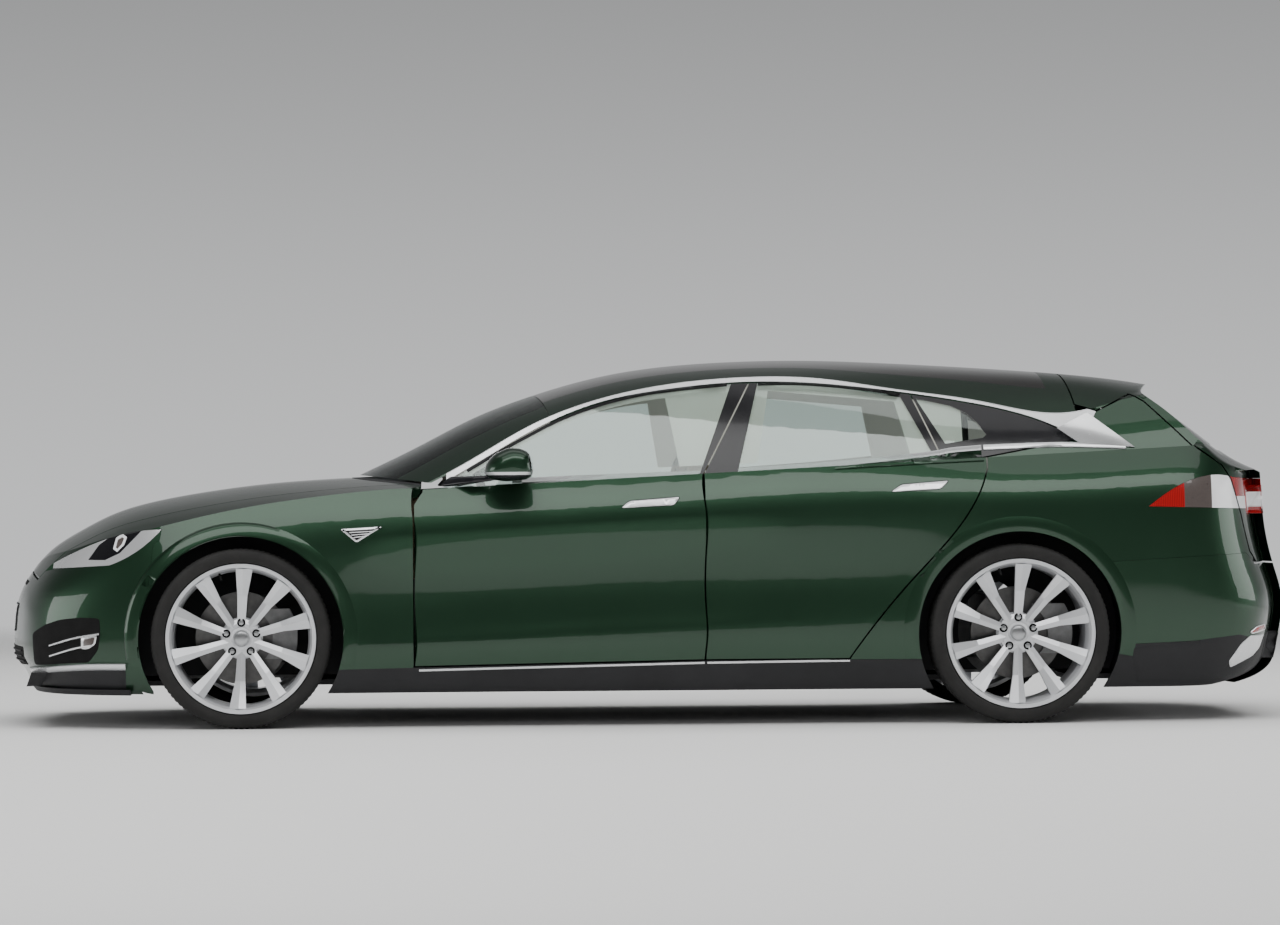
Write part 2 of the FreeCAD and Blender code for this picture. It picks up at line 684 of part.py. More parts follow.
def slice_body(label, corners, width, centre=None):
    """A side-view outline of (rearwards, up) padded across the car by width about centre."""
    body = new_body(label)
    sketch = draw(sketch_on(body, "XZ_Plane", centre), corners)
    pad = body.newObject("PartDesign::Pad", label + "_pad")
    pad.Profile = sketch
    pad.Midplane = True
    bind(pad, Length=width)
    return body


def box(name, length, width, height, x, y, z):
    item = doc.addObject("Part::Box", name)
    return bind(item, Length=length, Width=width, Height=height, place_x=x, place_y=y, place_z=z)


def rod(name, radius, height, x, y, z, turn=None):
    item = doc.addObject("Part::Cylinder", name)
    if turn:
        item.Placement.Rotation = FreeCAD.Rotation(*turn)
    return bind(item, Radius=radius, Height=height, place_x=x, place_y=y, place_z=z)


def joined(name, items):
    item = doc.addObject("Part::MultiFuse", name)
    item.Shapes = items
    return item


def minus(name, base, tool):
    item = doc.addObject("Part::Cut", name)
    item.Base, item.Tool = base, tool
    return item


def gathered(label, items):
    item = doc.addObject("Part::Compound", label)
    item.Links = items
    item.Label = label
    return item


def image(label, source):
    """The mirror image of an object on the car's other side."""
    item = doc.addObject("Part::Mirroring", label)
    item.Source = source
    item.Normal = V(0, 1, 0)
    item.Label = label
    return item


nodes = []


def node(item, label=None):
    if label:
        item.Label = label
    nodes.append(item)
    return item


# ---- wheels ----------------------------------------------------------------
TYRE = [
    ("{half} - 13", "{rim} + 1"), ("{half} - 3", "{rim} + 11"), ("{half}", "{rim} + 25"),
    ("{half} - 4", "{tread} - 16"), ("{half} - 14", "{tread} - 6"), ("{half} - 34", "{tread}"),
    ("34 - {half}", "{tread}"), ("14 - {half}", "{tread} - 6"), ("4 - {half}", "{tread} - 16"),
    ("-{half}", "{rim} + 25"), ("3 - {half}", "{rim} + 11"), ("13 - {half}", "{rim} + 1"),
    ("16 + {wall} - {half}", "{rim} + 1"), ("3 + {wall} - {half}", "{rim} + 23"),
    ("12 + {wall} - {half}", "{tread} - 24"), ("34 + {wall} - {half}", "{tread} - {wall} - 2"),
    ("{half} - 34 - {wall}", "{tread} - {wall} - 2"), ("{half} - 12 - {wall}", "{tread} - 24"),
    ("{half} - 3 - {wall}", "{rim} + 23"), ("{half} - 16 - {wall}", "{rim} + 1"),
]
BARREL = [
    ("{half} - 6", "{rim}"), ("{half} - 6", "{rim} - 14"), ("{half} - 28", "{rim} - 22"),
    ("{half} - 76", "{rim} - 30"), ("18 - {half}", "{rim} - 30"), ("6 - {half}", "{rim} - 14"),
    ("6 - {half}", "{rim}"), ("14 - {half}", "{rim}"), ("22 - {half}", "{rim} - 30 + {barrel}"),
    ("{half} - 72", "{rim} - 30 + {barrel}"), ("{half} - 26", "{rim} - 22 + {barrel}"),
    ("{half} - 16", "{rim}"),
]
HUB = [
    ("{face}", "0"), ("{face}", "{hub} - 16"), ("{face} - 8", "{hub}"), ("{face} - 40", "{hub}"),
    ("{face} - 40", "0"),
]
DISC = [
    ("{face} - 40.5", "12"), ("{face} - 40.5", "{hub} + 6"), ("{face} - 62.5", "{hub} + 6"),
    ("{face} - 62.5", "{disc}"), ("{face} - 62.5 - {thick}", "{disc}"),
    ("{face} - 62.5 - {thick}", "{hub} - 2"), ("{face} - 48.5", "{hub} - 2"), ("{face} - 48.5", "12"),
]
# Blade sections from hub to rim: height above the axle, then corners of (rearwards, outboard).
BLADE = [
    ("52", [("-15", "{face} - 6"), ("0", "{face} + 2"), ("15", "{face} - 6"), ("15", "{face} - 34"),
            ("-15", "{face} - 34")]),
    ("(sizes.hub_radius + sizes.rim_radius) * 0.45",
     [("-14", "{face} + 14"), ("4", "{face} + 24"), ("24", "{face} + 16"), ("24", "{face} - 8"),
      ("-14", "{face} - 10")]),
    ("sizes.rim_radius - 20", [("-18", "{half} - 20"), ("10", "{half} - 10"), ("46", "{half} - 24"),
                               ("46", "{half} - 48"), ("-18", "{half} - 46")]),
]


def rim_body(label, half):
    """Barrel, hub and blades that lean and widen towards the rim, patterned round the axle."""
    body = new_body(label)
    for part, corners in (("barrel", BARREL), ("hub", HUB)):
        sketch = draw(sketch_on(body, "YZ_Plane"), corners, half=half)
        turned = body.newObject("PartDesign::Revolution", label + "_" + part)
        turned.Profile = sketch
        turned.ReferenceAxis = (sketch, ["H_Axis"])
        turned.Angle = 360
        axis_sketch = sketch
    sections = [draw(sketch_on(body, "XY_Plane", lift), corners, half=half) for lift, corners in BLADE]
    blade = body.newObject("PartDesign::AdditiveLoft", label + "_blade")
    blade.Profile = sections[0]
    blade.Sections = sections[1:]
    blade.Ruled = True
    pattern = body.newObject("PartDesign::PolarPattern", label + "_blades")
    pattern.Originals = [blade]
    pattern.Axis = (axis_sketch, ["H_Axis"])
    pattern.Angle = 360
    bind(pattern, Occurrences="sizes.spoke_count")
    body.Tip = pattern
    return body


for place, x, y, width in (("front", FRONT_X, FRONT_Y, "sizes.front_tyre_width"),
                           ("rear", REAR_X, REAR_Y, "sizes.rear_tyre_width")):
    half = width + " / 2"
    tyre = lathe(place + "_right_tyre", TYRE, half=half)
    rim = rim_body(place + "_rim", half)
    disc = lathe(place + "_disc", DISC, half=half)
    for item in (tyre, rim, disc):
        bind(item, place_x=x, place_y=y, place_z=HUB_Z)
    wheel = gathered(place + "_right_wheel", [rim, disc])
    node(tyre)
    node(wheel)
    node(image(place + "_left_tyre", tyre))
    node(image(place + "_left_wheel", wheel))

# ---- axles and steering ----------------------------------------------------
FACING_RIGHT = (V(1, 0, 0), -90)


def knuckle(name, x, track):
    """Upright on the kingpin: stub axle into the hub, pins for the arms, caliper behind the disc."""
    king = "%s / 2 - sizes.kingpin_offset" % track
    middle_y = "%s / 2 + sizes.hub_face - 62.5 - sizes.disc_wall / 2" % track
    stub = rod(name + "_stub", "11", "sizes.kingpin_offset + sizes.hub_face - 46.5", x, king, HUB_Z,
               FACING_RIGHT)
    flange = rod(name + "_flange", "58", "14", x, king, HUB_Z, FACING_RIGHT)
    post = box(name + "_post", "52", "24", "226", x + " - 26", king + " - 12", HUB_Z + " - 116")
    pins = [rod(name + "_pin_%d" % k, "sizes.pin_radius", "46", x, king, HUB_Z + lift)
            for k, lift in enumerate((" - 150", " + 104"))]
    outer = rod(name + "_caliper", "212", "sizes.disc_wall + 48", x, middle_y + " - sizes.disc_wall / 2 - 24",
                HUB_Z, FACING_RIGHT)
    inner = rod(name + "_caliper_bore", "118", "sizes.disc_wall + 64", x,
                middle_y + " - sizes.disc_wall / 2 - 32", HUB_Z, FACING_RIGHT)
    slot = rod(name + "_slot", "sizes.disc_radius + 6", "sizes.disc_wall + 4", x,
               middle_y + " - sizes.disc_wall / 2 - 2", HUB_Z, FACING_RIGHT)
    ring = minus(name + "_ring", outer, joined(name + "_ring_bore", [inner, slot]))
    wedge = box(name + "_wedge", "300", "200", "190", x + " + 60", king + " - 40", HUB_Z + " - 80")
    caliper = doc.addObject("Part::Common", name + "_caliper_part")
    caliper.Base, caliper.Tool = ring, wedge
    bracket = box(name + "_bracket", "126", "sizes.kingpin_offset + sizes.hub_face - 66.5 - sizes.disc_wall",
                  "34", x + " + 10", king, HUB_Z + " - 17")
    return joined(name, [post, stub, flange, caliper, bracket] + pins)


def subframe(name, x, track):
    """Cross-member with lower and upper arms that end in eyes round the knuckle's pins."""
    king = "%s / 2 - sizes.kingpin_offset" % track
    frame = box(name + "_frame", "420", "640", "60", x + " - 210", "-320", HUB_Z + " - 170")
    tower = box(name + "_tower", "120", "640", "250", x + " - 60", "-320", HUB_Z + " - 120")
    parts, bores = [frame, tower], []
    for side, sign in (("left", -1), ("right", 1)):
        at = "%d * (%s)" % (sign, king)
        for k, lift in enumerate((" - 142", " + 112")):
            parts.append(rod("%s_%s_eye_%d" % (name, side, k), "22", "24", x, at, HUB_Z + lift))
            parts.append(box("%s_%s_arm_%d" % (name, side, k), "60", king + " - 304", "22", x + " - 30",
                             "300" if sign > 0 else "4 - (%s)" % king, HUB_Z + lift + " + 1"))
        bores.append(rod("%s_%s_bore" % (name, side), "sizes.pin_radius + sizes.pin_clearance", "400",
                         x, at, HUB_Z + " - 200"))
    return minus(name, joined(name + "_solid", parts), joined(name + "_bores", bores))


front_knuckle = node(knuckle("front_right_knuckle", FRONT_X, "sizes.front_track"))
node(image("front_left_knuckle", front_knuckle))
node(gathered("front_axle", [
    subframe("front_subframe", FRONT_X, "sizes.front_track"),
    box("front_motor", "330", "500", "150", FRONT_X + " + 70", "-250", HUB_Z + " - 109")]))
rear_knuckle = knuckle("rear_knuckle", REAR_X, "sizes.rear_track")
node(gathered("rear_axle", [rear_knuckle, image("rear_knuckle_image", rear_knuckle),
                            subframe("rear_subframe", REAR_X, "sizes.rear_track"),
                            box("rear_motor", "360", "520", "170", REAR_X + " - 440", "-260",
                                HUB_Z + " - 109")]))

# ---- cabin -----------------------------------------------------------------
DASH = [("520", "700"), ("520", "850"), ("700", "872"), ("830", "862"), ("850", "800"),
        ("800", "700"), ("760", "560"), ("640", "560")]


def shifted(corners, x, z="0"):
    return [("%s + %s" % (x, a), "%s + %s" % (z, b)) for a, b in corners]


dash = slice_body("dash", shifted(DASH, FRONT_X), "sizes.cabin_width")
console = box("console", "1000", "200", "330", FRONT_X + " + 720", "-100", "sizes.floor_top")
node(joined("dashboard", [dash, console]))

SEAT = [("0", "0"), ("0", "230"), ("60", "255"), ("470", "215"), ("600", "760"), ("690", "760"),
        ("590", "120"), ("560", "0")]
HEADREST = [("636", "740"), ("636", "762"), ("612", "775"), ("616", "925"), ("640", "952"),
            ("690", "952"), ("702", "775"), ("668", "762"), ("668", "740")]


BENCH = [("0", "185"), ("0", "270"), ("60", "295"), ("470", "262"), ("600", "760"), ("690", "760"),
         ("615", "250"), ("560", "185")]


def seat(name, section, x, y, width, heads):
    """Cushion and raked back with headrests; heads are their places across the seat."""
    parts = [slice_body(name + "_base", shifted(section, x, "sizes.floor_top"), width, "-(%s)" % y)]
    for k, at in enumerate(heads):
        parts.append(slice_body("%s_head_%d" % (name, k), shifted(HEADREST, x, "sizes.floor_top"),
                                "250", "-(%s + %s)" % (y, at)))
    return joined(name, parts)


right_seat = seat("right_seat", SEAT, FRONT_X + " + 1120", "sizes.seat_spacing / 2", "sizes.seat_width", ["0"])
node(gathered("front_seats", [right_seat, image("left_seat", right_seat)]))
bench = seat("bench", BENCH, "(%s + %s) / 2 + 640" % (FRONT_X, REAR_X), "0", "sizes.bench_width",
             ["-420", "420"])
house_radius = "sizes.well_radius + sizes.liner_wall + 6"
house_rods = [
    rod("right_house_room", house_radius, "300", REAR_X, "sizes.well_inner - sizes.liner_wall - 6",
        HUB_Z, FACING_RIGHT),
    rod("left_house_room", house_radius, "300", REAR_X, "sizes.liner_wall - sizes.well_inner - 294",
        HUB_Z, FACING_RIGHT)]
node(minus("rear_seat", bench, joined("house_rooms", house_rods)))

# Steering wheel: a rim on three spokes, tilted on its column.
ring = doc.addObject("Part::Torus", "steering_ring")
ring.Radius2 = 15
bind(ring, Radius1="sizes.steering_wheel_radius")
spokes = [doc.addObject("Part::Box", "steering_spoke_%d" % k) for k in range(3)]
for k, spoke in enumerate(spokes):
    spoke.Width, spoke.Height = 44, 14
    bind(spoke, Length="sizes.steering_wheel_radius")
    turn = FreeCAD.Rotation(V(0, 0, 1), 90 * k)
    spoke.Placement = FreeCAD.Placement(turn.multVec(V(0, -22, -7)), turn)
boss = doc.addObject("Part::Cylinder", "steering_boss")
boss.Radius, boss.Height, boss.Placement.Base = 52, 34, V(0, 0, -17)
column = doc.addObject("Part::Cylinder", "steering_column")
column.Radius, column.Height, column.Placement.Base = 26, 85, V(0, 0, -90)
steering = joined("steering_wheel", [ring, boss, column] + spokes)
steering.Placement.Rotation = FreeCAD.Rotation(V(0, 1, 0), 68)
bind(steering, place_x=FRONT_X + " + 960", place_y="-sizes.seat_spacing / 2", place_z="820")
node(steering)
doc.recompute()

# ---- floor, wheel houses, inner walls --------------------------------------
floor_bottom, floor_top, floor_wall = size("floor_bottom"), size("floor_top"), size("floor_wall")
well_radius, well_inner, liner_wall = size("well_radius"), size("well_inner"), size("liner_wall")
room_inside = lower_body(inner_skin + 2).common(right_side)
house_room = 12
axles = (front_axle, rear_axle)
tray = room_inside.common(slab(front(-640), rear(800), z0=floor_bottom, z1=floor_bottom + floor_wall))
tray = cut_all(tray, *[slab(x - well_radius - house_room, x + well_radius + house_room,
                            well_inner - 8, reach, z1=900) for x in axles])
tray = cut_all(tray, *[slab(x - 230, x + 230, z1=floor_bottom + 2 * floor_wall) for x in axles])
pack = room_inside.common(slab(front(560), rear(-560), y1=700, z0=floor_bottom, z1=floor_top))
bulkhead = room_inside.common(slab(front(470), front(494), z0=floor_bottom + 10, z1=840))
step = slab(rear(-800), rear(-180), y1=480, z0=410, z1=430)
step = step.fuse([slab(rear(-800), rear(-780), y1=480, z0=floor_top - 10, z1=430),
                  slab(rear(-200), rear(-180), y1=480, z0=410, z1=612)])
load_floor = room_inside.common(slab(rear(-200), rear(830), z0=590, z1=612))
liners = []
for x in axles:
    ring = axle_cylinder(x, well_radius + liner_wall, well_inner - liner_wall, well_outer)
    ring = ring.cut(axle_cylinder(x, well_radius, well_inner, reach))
    ring = ring.cut(axle_cylinder(x, 190, 0, reach)).common(slab(z0=190))
    liners.append(ring)
liner = liners[0].fuse(liners[1])
frames = frame_low.fuse(frame_top)
floor = tray.fuse([pack, bulkhead, step, load_floor])
across("floor_pan", cut_all(floor, frames, dash.Shape, swing_rooms, body_side, rear_door_room,
                            tailgate_room, bumper_shell, *well_rooms))
right_panels = [fender, body_side, bumper, bumper_shell, sill]
both("arch_liners", cut_all(liner, bonnet_room, *[panel for panel in right_panels]))

# ---- mirrors and lower lip -------------------------------------------------
mirror_y = half_width - 6
sections = []
across_car = FreeCAD.Rotation(V(0, 1, 0), 90).multiply(FreeCAD.Rotation(V(0, 0, 1), 90))
for x, across_y, up, z in ((front(772), 30, 12, 974), (front(830), 88, 38, 988),
                           (front(980), 118, 54, 1000), (front(1108), 112, 50, 1002)):
    ring = Part.Wire(Part.Ellipse(V(0, 0, 0), across_y, up).toShape())
    ring.Placement = FreeCAD.Placement(V(x, mirror_y, z), across_car)
    sections.append(ring)
mirror = Part.makeLoft(sections, True)
foot = slab(front(850), front(960), half_width - 190, half_width - 40, 936, 962)
pair("%s_mirror", mirror.fuse(foot).cut(body).cut(glasshouse()))
lip = lower_body(-14).common(slab(x1=front(-420), y0=0, z0=128, z1=150)).cut(lower_body(90))
across("splitter", cut_all(lip, wheel_space, bumper))


def main():
    for label, shape in pieces.items():
        item = doc.addObject("Part::Feature", label)
        item.Label = label
        item.Shape = shape
        nodes.append(item)
    doc.recompute()
    faults = [item.Label for item in doc.Objects if {"Invalid", "Error"} & set(item.State)]
    faults += [item.Label for item in nodes
               if item.Shape.isNull() or not item.Shape.isValid() or not item.Shape.Solids]
    for item in nodes:
        print("%-20s %2d solids %8.2f litres" % (item.Label, len(item.Shape.Solids),
                                                 item.Shape.Volume / 1e6))
    if faults:
        raise SystemExit("faults in " + ", ".join(faults))
    for item in nodes:
        item.Shape.exportStep("parts/%s.step" % item.Label)


main()
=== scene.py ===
import json
import math
import bpy
import bmesh
from mathutils import Matrix, Vector
from mathutils.bvhtree import BVHTree
from mathutils.geometry import delaunay_2d_cdt
from mathutils.interpolate import poly_3d_calc as interpolationWeights


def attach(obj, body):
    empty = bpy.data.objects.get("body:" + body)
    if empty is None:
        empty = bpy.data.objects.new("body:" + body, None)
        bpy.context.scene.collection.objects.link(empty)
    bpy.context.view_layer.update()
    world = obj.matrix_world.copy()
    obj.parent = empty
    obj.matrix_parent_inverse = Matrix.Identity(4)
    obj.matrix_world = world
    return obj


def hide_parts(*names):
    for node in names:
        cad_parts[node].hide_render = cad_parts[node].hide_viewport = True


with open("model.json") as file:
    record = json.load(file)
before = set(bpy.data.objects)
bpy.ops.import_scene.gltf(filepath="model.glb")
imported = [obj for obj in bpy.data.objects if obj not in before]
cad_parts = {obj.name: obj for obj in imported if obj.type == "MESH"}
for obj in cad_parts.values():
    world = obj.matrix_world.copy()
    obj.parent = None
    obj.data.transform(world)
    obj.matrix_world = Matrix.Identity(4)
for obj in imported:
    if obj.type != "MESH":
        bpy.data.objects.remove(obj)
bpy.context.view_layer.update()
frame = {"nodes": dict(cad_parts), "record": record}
nodes = frame["nodes"]
bodyOf = {node: body for body, names in frame["record"]["behaviour"]["bodies"].items() for node in names}
slotOf = {part["node"]: part["material_slot"] for part in frame["record"]["subparts"]}
print("frame loaded,", len(nodes), "nodes")


class Wire:
    # a socket that can be used in sums like a number
    def __init__(self, wiring, socket):
        self.wiring = wiring
        self.socket = socket

    def math(self, operation, first, second):
        return self.wiring.add("ShaderNodeMath", {"operation": operation}, first, second)

    def __add__(self, other):
        return self.math("ADD", self, other)

    def __radd__(self, other):
        return self.math("ADD", self, other)

    def __sub__(self, other):
        return self.math("SUBTRACT", self, other)

    def __rsub__(self, other):
        return self.math("SUBTRACT", other, self)

    def __mul__(self, other):
        return self.math("MULTIPLY", self, other)

    def __rmul__(self, other):
        return self.math("MULTIPLY", self, other)

    def ramp(self, low, high, fromValue=0.0, toValue=1.0):
        settings = {"interpolation_type": "SMOOTHSTEP"}
        return self.wiring.add("ShaderNodeMapRange", settings, self, low, high, fromValue, toValue)

    def out(self, index):
        return Wire(self.wiring, self.socket.node.outputs[index])


class Wiring:
    # a node tree; add takes a node's type, its settings and the values or wires of its sockets
    def __init__(self, tree):
        self.tree = tree

    def add(self, kind, settings=None, *values, out=0, **named):
        node = self.tree.nodes.new(kind)
        for key, value in (settings or {}).items():
            setattr(node, key, value)
        inputs = list(enumerate(values)) + [(key.replace("_", " "), value) for key, value in named.items()]
        for key, value in inputs:
            if value is not None:
                self.feed(node.inputs[key], value)
        return Wire(self, node.outputs[out])

    def feed(self, socket, value):
        if isinstance(value, Wire):
            self.tree.links.new(value.socket, socket)
        elif isinstance(value, tuple) and len(value) == 3 and socket.type == "RGBA":
            socket.default_value = (*value, 1)
        else:
            socket.default_value = value

    def place(self):
        return self.add("ShaderNodeTexCoord", out=3)

    def axes(self, at=None):
        split = self.add("ShaderNodeSeparateXYZ", None, at or self.place())
        return [split.out(index) for index in range(3)]

    def noise(self, scale, detail=2.0, at=None):
        return self.add("ShaderNodeTexNoise", None, Vector=at or self.place(), Scale=scale, Detail=detail)

    def cells(self, scale, out=0):
        return self.add("ShaderNodeTexVoronoi", None, out=out, Vector=self.place(), Scale=scale)

    def mixColour(self, factor, first, second):
        return self.add("ShaderNodeMix", {"data_type": "RGBA"}, factor, *[None] * 5, first, second, out=2)

    def stretch(self, scale):
        return self.add("ShaderNodeMapping", None, Vector=self.place(), Scale=scale)

    def bump(self, height, strength, distance):
        return self.add("ShaderNodeBump", None, Height=height, Strength=strength, Distance=distance)


class Finish(Wiring):
    # one material
    def __init__(self, name, **constants):
        self.material = bpy.data.materials.new(name)
        self.material.use_nodes = True
        super().__init__(self.material.node_tree)
        self.surface = self.tree.nodes["Principled BSDF"]
        self.set(**constants)

    def set(self, **links):
        for socket, value in links.items():
            self.feed(self.surface.inputs[socket.replace("_", " ")], value)


def wornFinish(name, tones, patches, rough, detail=2.0, grain=None, **constants):
    # colour that wanders between two tones, uneven gloss (base, spread, scale) and, on some, a fine grain
    finish = Finish(name, **constants)
    base, spread, scale = rough
    finish.set(Base_Color=finish.mixColour(finish.noise(patches, detail), *tones),
               Roughness=base + spread * finish.noise(scale))
    if grain:
        kind, scale, strength, distance = grain
        texture = finish.cells(scale) if kind == "cells" else finish.noise(scale)
        finish.set(Normal=finish.bump(texture, strength, distance))
    return finish


# the paint: dark green that lightens at a glance, with flakes
paint = {"colour": (0.0095, 0.027, 0.0145), "flop": (0.019, 0.054, 0.028), "fleck": (0.10, 0.20, 0.12),
         "flakeScale": 2600.0, "roughness": 0.34}
carPaint = Finish("carPaint", Metallic=0.8, Coat_Weight=0.75, Coat_Roughness=0.03, Coat_IOR=1.5)
sparkle = carPaint.add("ShaderNodeSeparateColor", None, carPaint.cells(paint["flakeScale"], out=1))
facing = carPaint.add("ShaderNodeLayerWeight", None, 0.35, out=1)
paintTone = carPaint.mixColour(facing, paint["flop"], paint["colour"])
carPaint.set(Base_Color=carPaint.mixColour(sparkle.ramp(0.6, 1.0, 0.0, 0.10), paintTone, paint["fleck"]),
             Roughness=paint["roughness"] + 0.08 * carPaint.noise(3.0))

# pressed lines along the doors, in metres: a tuck under the shoulder and a soft ridge above the sill
crease = {"shoulder": {"from": (-1.109, 0.736), "climb": 0.0584, "slope": 0.26, "depth": 0.22},
          "sill": {"from": (-1.058, 0.306), "climb": 0.0526, "slope": 0.12, "depth": 0.10},
          "starts": (-1.16, -0.95), "ends": (0.15, 0.60)}
rearwards, across, upwards = carPaint.axes()


def overCrease(line):
    startX, startZ = line["from"]
    return upwards - ((rearwards - startX) * line["climb"] + startZ)


def bent(run, line):
    return (run * run * (0.5 / line["depth"]) - run) * line["slope"]


tuckDepth, ridgeDepth = crease["shoulder"]["depth"], crease["sill"]["depth"]
tuckRun = overCrease(crease["shoulder"]).ramp(-tuckDepth, 0.0, tuckDepth, 0.0)
ridgeRun = overCrease(crease["sill"]).ramp(0.0, ridgeDepth, 0.0, ridgeDepth)
pressed = bent(tuckRun, crease["shoulder"]) + bent(ridgeRun, crease["sill"])
onDoors = rearwards.ramp(*crease["starts"]) * rearwards.ramp(*crease["ends"], 1.0, 0.0)
carPaint.set(Normal=carPaint.bump(pressed * onDoors, 1.0, 1.0))

satinTrim = Finish("satinTrim", Metallic=0.55, Coat_Weight=0.4)
brushed = satinTrim.noise(60.0, at=satinTrim.stretch((0.4, 8.0, 8.0)))
satinTrim.set(Base_Color=satinTrim.mixColour(brushed, (0.70, 0.71, 0.72), (0.82, 0.83, 0.84)),
              Roughness=0.20 + 0.10 * brushed)
brightTrim = wornFinish("brightTrim", ((0.76, 0.77, 0.78), (0.86, 0.87, 0.88)), 40.0, (0.14, 0.08, 25.0),
                        Metallic=0.55, Coat_Weight=0.5)

# wheels, axles and the underside
wheelSilver = wornFinish("wheelSilver", ((0.66, 0.67, 0.69), (0.78, 0.79, 0.81)), 900.0, (0.26, 0.10, 8.0),
                         Metallic=0.5, Coat_Weight=0.6, Coat_Roughness=0.08)
discIron = wornFinish("discIron", ((0.10, 0.10, 0.10), (0.20, 0.195, 0.19)), 40.0, (0.30, 0.18, 220.0),
                      Metallic=1.0)
castAlloy = wornFinish("castAlloy", ((0.20, 0.20, 0.20), (0.36, 0.36, 0.36)), 30.0, (0.5, 0.2, 160.0),
                       grain=("noise", 500.0, 0.4, 0.0008), Metallic=0.9)
pressedSteel = wornFinish("pressedSteel", ((0.035, 0.036, 0.038), (0.06, 0.06, 0.062)), 5.0,
                          (0.55, 0.15, 70.0), Metallic=0.3)
capMetal = wornFinish("capMetal", ((0.45, 0.46, 0.47), (0.60, 0.61, 0.62)), 60.0, (0.3, 0.1, 90.0),
                      Metallic=1.0)
tyreRubber = wornFinish("tyreRubber", ((0.012, 0.012, 0.012), (0.030, 0.029, 0.028)), 14.0,
                        (0.72, 0.16, 60.0), detail=6.0, grain=("noise", 700.0, 0.3, 0.0005),
                        Specular_IOR_Level=0.25)

# blacks
blackPlastic = wornFinish("blackPlastic", ((0.012, 0.012, 0.013), (0.022, 0.022, 0.024)), 6.0,
                          (0.52, 0.14, 35.0), grain=("cells", 900.0, 0.35, 0.0004), Specular_IOR_Level=0.35)
glossBlack = wornFinish("glossBlack", ((0.006, 0.006, 0.007), (0.012, 0.012, 0.014)), 4.0, (0.16, 0.06, 12.0),
                        Coat_Weight=0.3, Coat_Roughness=0.08, Specular_IOR_Level=0.3)
deepBlack = wornFinish("deepBlack", ((0.004, 0.004, 0.004), (0.010, 0.010, 0.010)), 20.0, (0.7, 0.1, 50.0),
                       Specular_IOR_Level=0.15)
tintedRoof = wornFinish("tintedRoof", ((0.008, 0.008, 0.008), (0.016, 0.014, 0.012)), 3.0, (0.12, 0.04, 9.0),
                        Coat_Weight=1.0, Coat_Roughness=0.02)


def glassFinish(name, tint):
    # clear seen square on, a mirror at a glance
    finish = Finish(name, Metallic=1.0, Roughness=0.03, Base_Color=(0.92, 0.95, 0.94))
    clear = finish.add("ShaderNodeBsdfTransparent", None, tint)
    share = finish.add("ShaderNodeFresnel", None, 1.5) * (0.9 + 0.1 * finish.noise(2.0)) + 0.02
    mirrored = Wire(finish, finish.surface.outputs[0])
    mixed = finish.add("ShaderNodeMixShader", None, share, clear, mirrored)
    finish.feed(finish.tree.nodes["Material Output"].inputs["Surface"], mixed)
    return finish


windowGlass = glassFinish("windowGlass", (0.90, 0.95, 0.93))
lampClear = glassFinish("lampClear", (0.80, 0.83, 0.84))
mirrorGlass = wornFinish("mirrorGlass", ((0.80, 0.83, 0.85), (0.84, 0.87, 0.88)), 3.0, (0.02, 0.02, 5.0),
                         Metallic=1.0)

# lamps
lampRed = Finish("lampRed", Coat_Weight=1.0, Coat_Roughness=0.03)
ribWave = lampRed.add("ShaderNodeMath", {"operation": "SINE"}, lampRed.axes()[0] * 900.0)
lampRed.set(Base_Color=lampRed.mixColour(ribWave.ramp(-1.0, 1.0), (0.20, 0.006, 0.008), (0.42, 0.012, 0.014)),
            Roughness=0.16 + 0.05 * lampRed.noise(30.0))
smokeLens = Finish("smokeLens", Coat_Weight=1.0, Coat_Roughness=0.04)
prisms = smokeLens.cells(240.0).ramp(0.1, 0.5)
smokeLens.set(Base_Color=smokeLens.mixColour(prisms, (0.050, 0.040, 0.038), (0.085, 0.070, 0.065)),
              Roughness=0.25 + 0.1 * smokeLens.noise(40.0))
lampChrome = wornFinish("lampChrome", ((0.74, 0.75, 0.76), (0.84, 0.85, 0.86)), 3.0, (0.16, 0.06, 5.0),
                        Metallic=0.6, Coat_Weight=1.0)
lampWhite = wornFinish("lampWhite", ((0.72, 0.73, 0.74), (0.84, 0.85, 0.86)), 20.0, (0.3, 0.08, 50.0),
                       Coat_Weight=0.6, Coat_Roughness=0.05)

# cabin: the seats' upper ends are dark, the linings are black below the window sill and above it glow
# faintly, painted light that brightens the shaded frame
beigeTrim = wornFinish("beigeTrim", ((0.30, 0.22, 0.14), (0.40, 0.30, 0.20)), 7.0, (0.62, 0.12, 40.0),
                       grain=("cells", 700.0, 0.3, 0.0004), Specular_IOR_Level=0.3)
seatLeather = Finish("seatLeather", Specular_IOR_Level=0.4)
hide = seatLeather.mixColour(seatLeather.noise(9.0), (0.34, 0.27, 0.19), (0.46, 0.38, 0.28))
headrestHeight = seatLeather.axes()[2].ramp(0.985, 1.0)
seatLeather.set(Base_Color=seatLeather.mixColour(headrestHeight, hide, (0.030, 0.031, 0.032)),
                Roughness=0.48 + 0.16 * seatLeather.noise(30.0),
                Normal=seatLeather.bump(seatLeather.cells(420.0), 0.4, 0.0006))
# painted light: above the sill the lining's emission makes the shaded inside of the frame look lit
paleLining = Finish("paleLining", Specular_IOR_Level=0.2, Emission_Strength=0.34)
aboveSill = paleLining.axes()[2].ramp(0.945, 0.965)
liningTone = paleLining.mixColour(paleLining.noise(6.0), (0.46, 0.46, 0.42), (0.56, 0.56, 0.52))
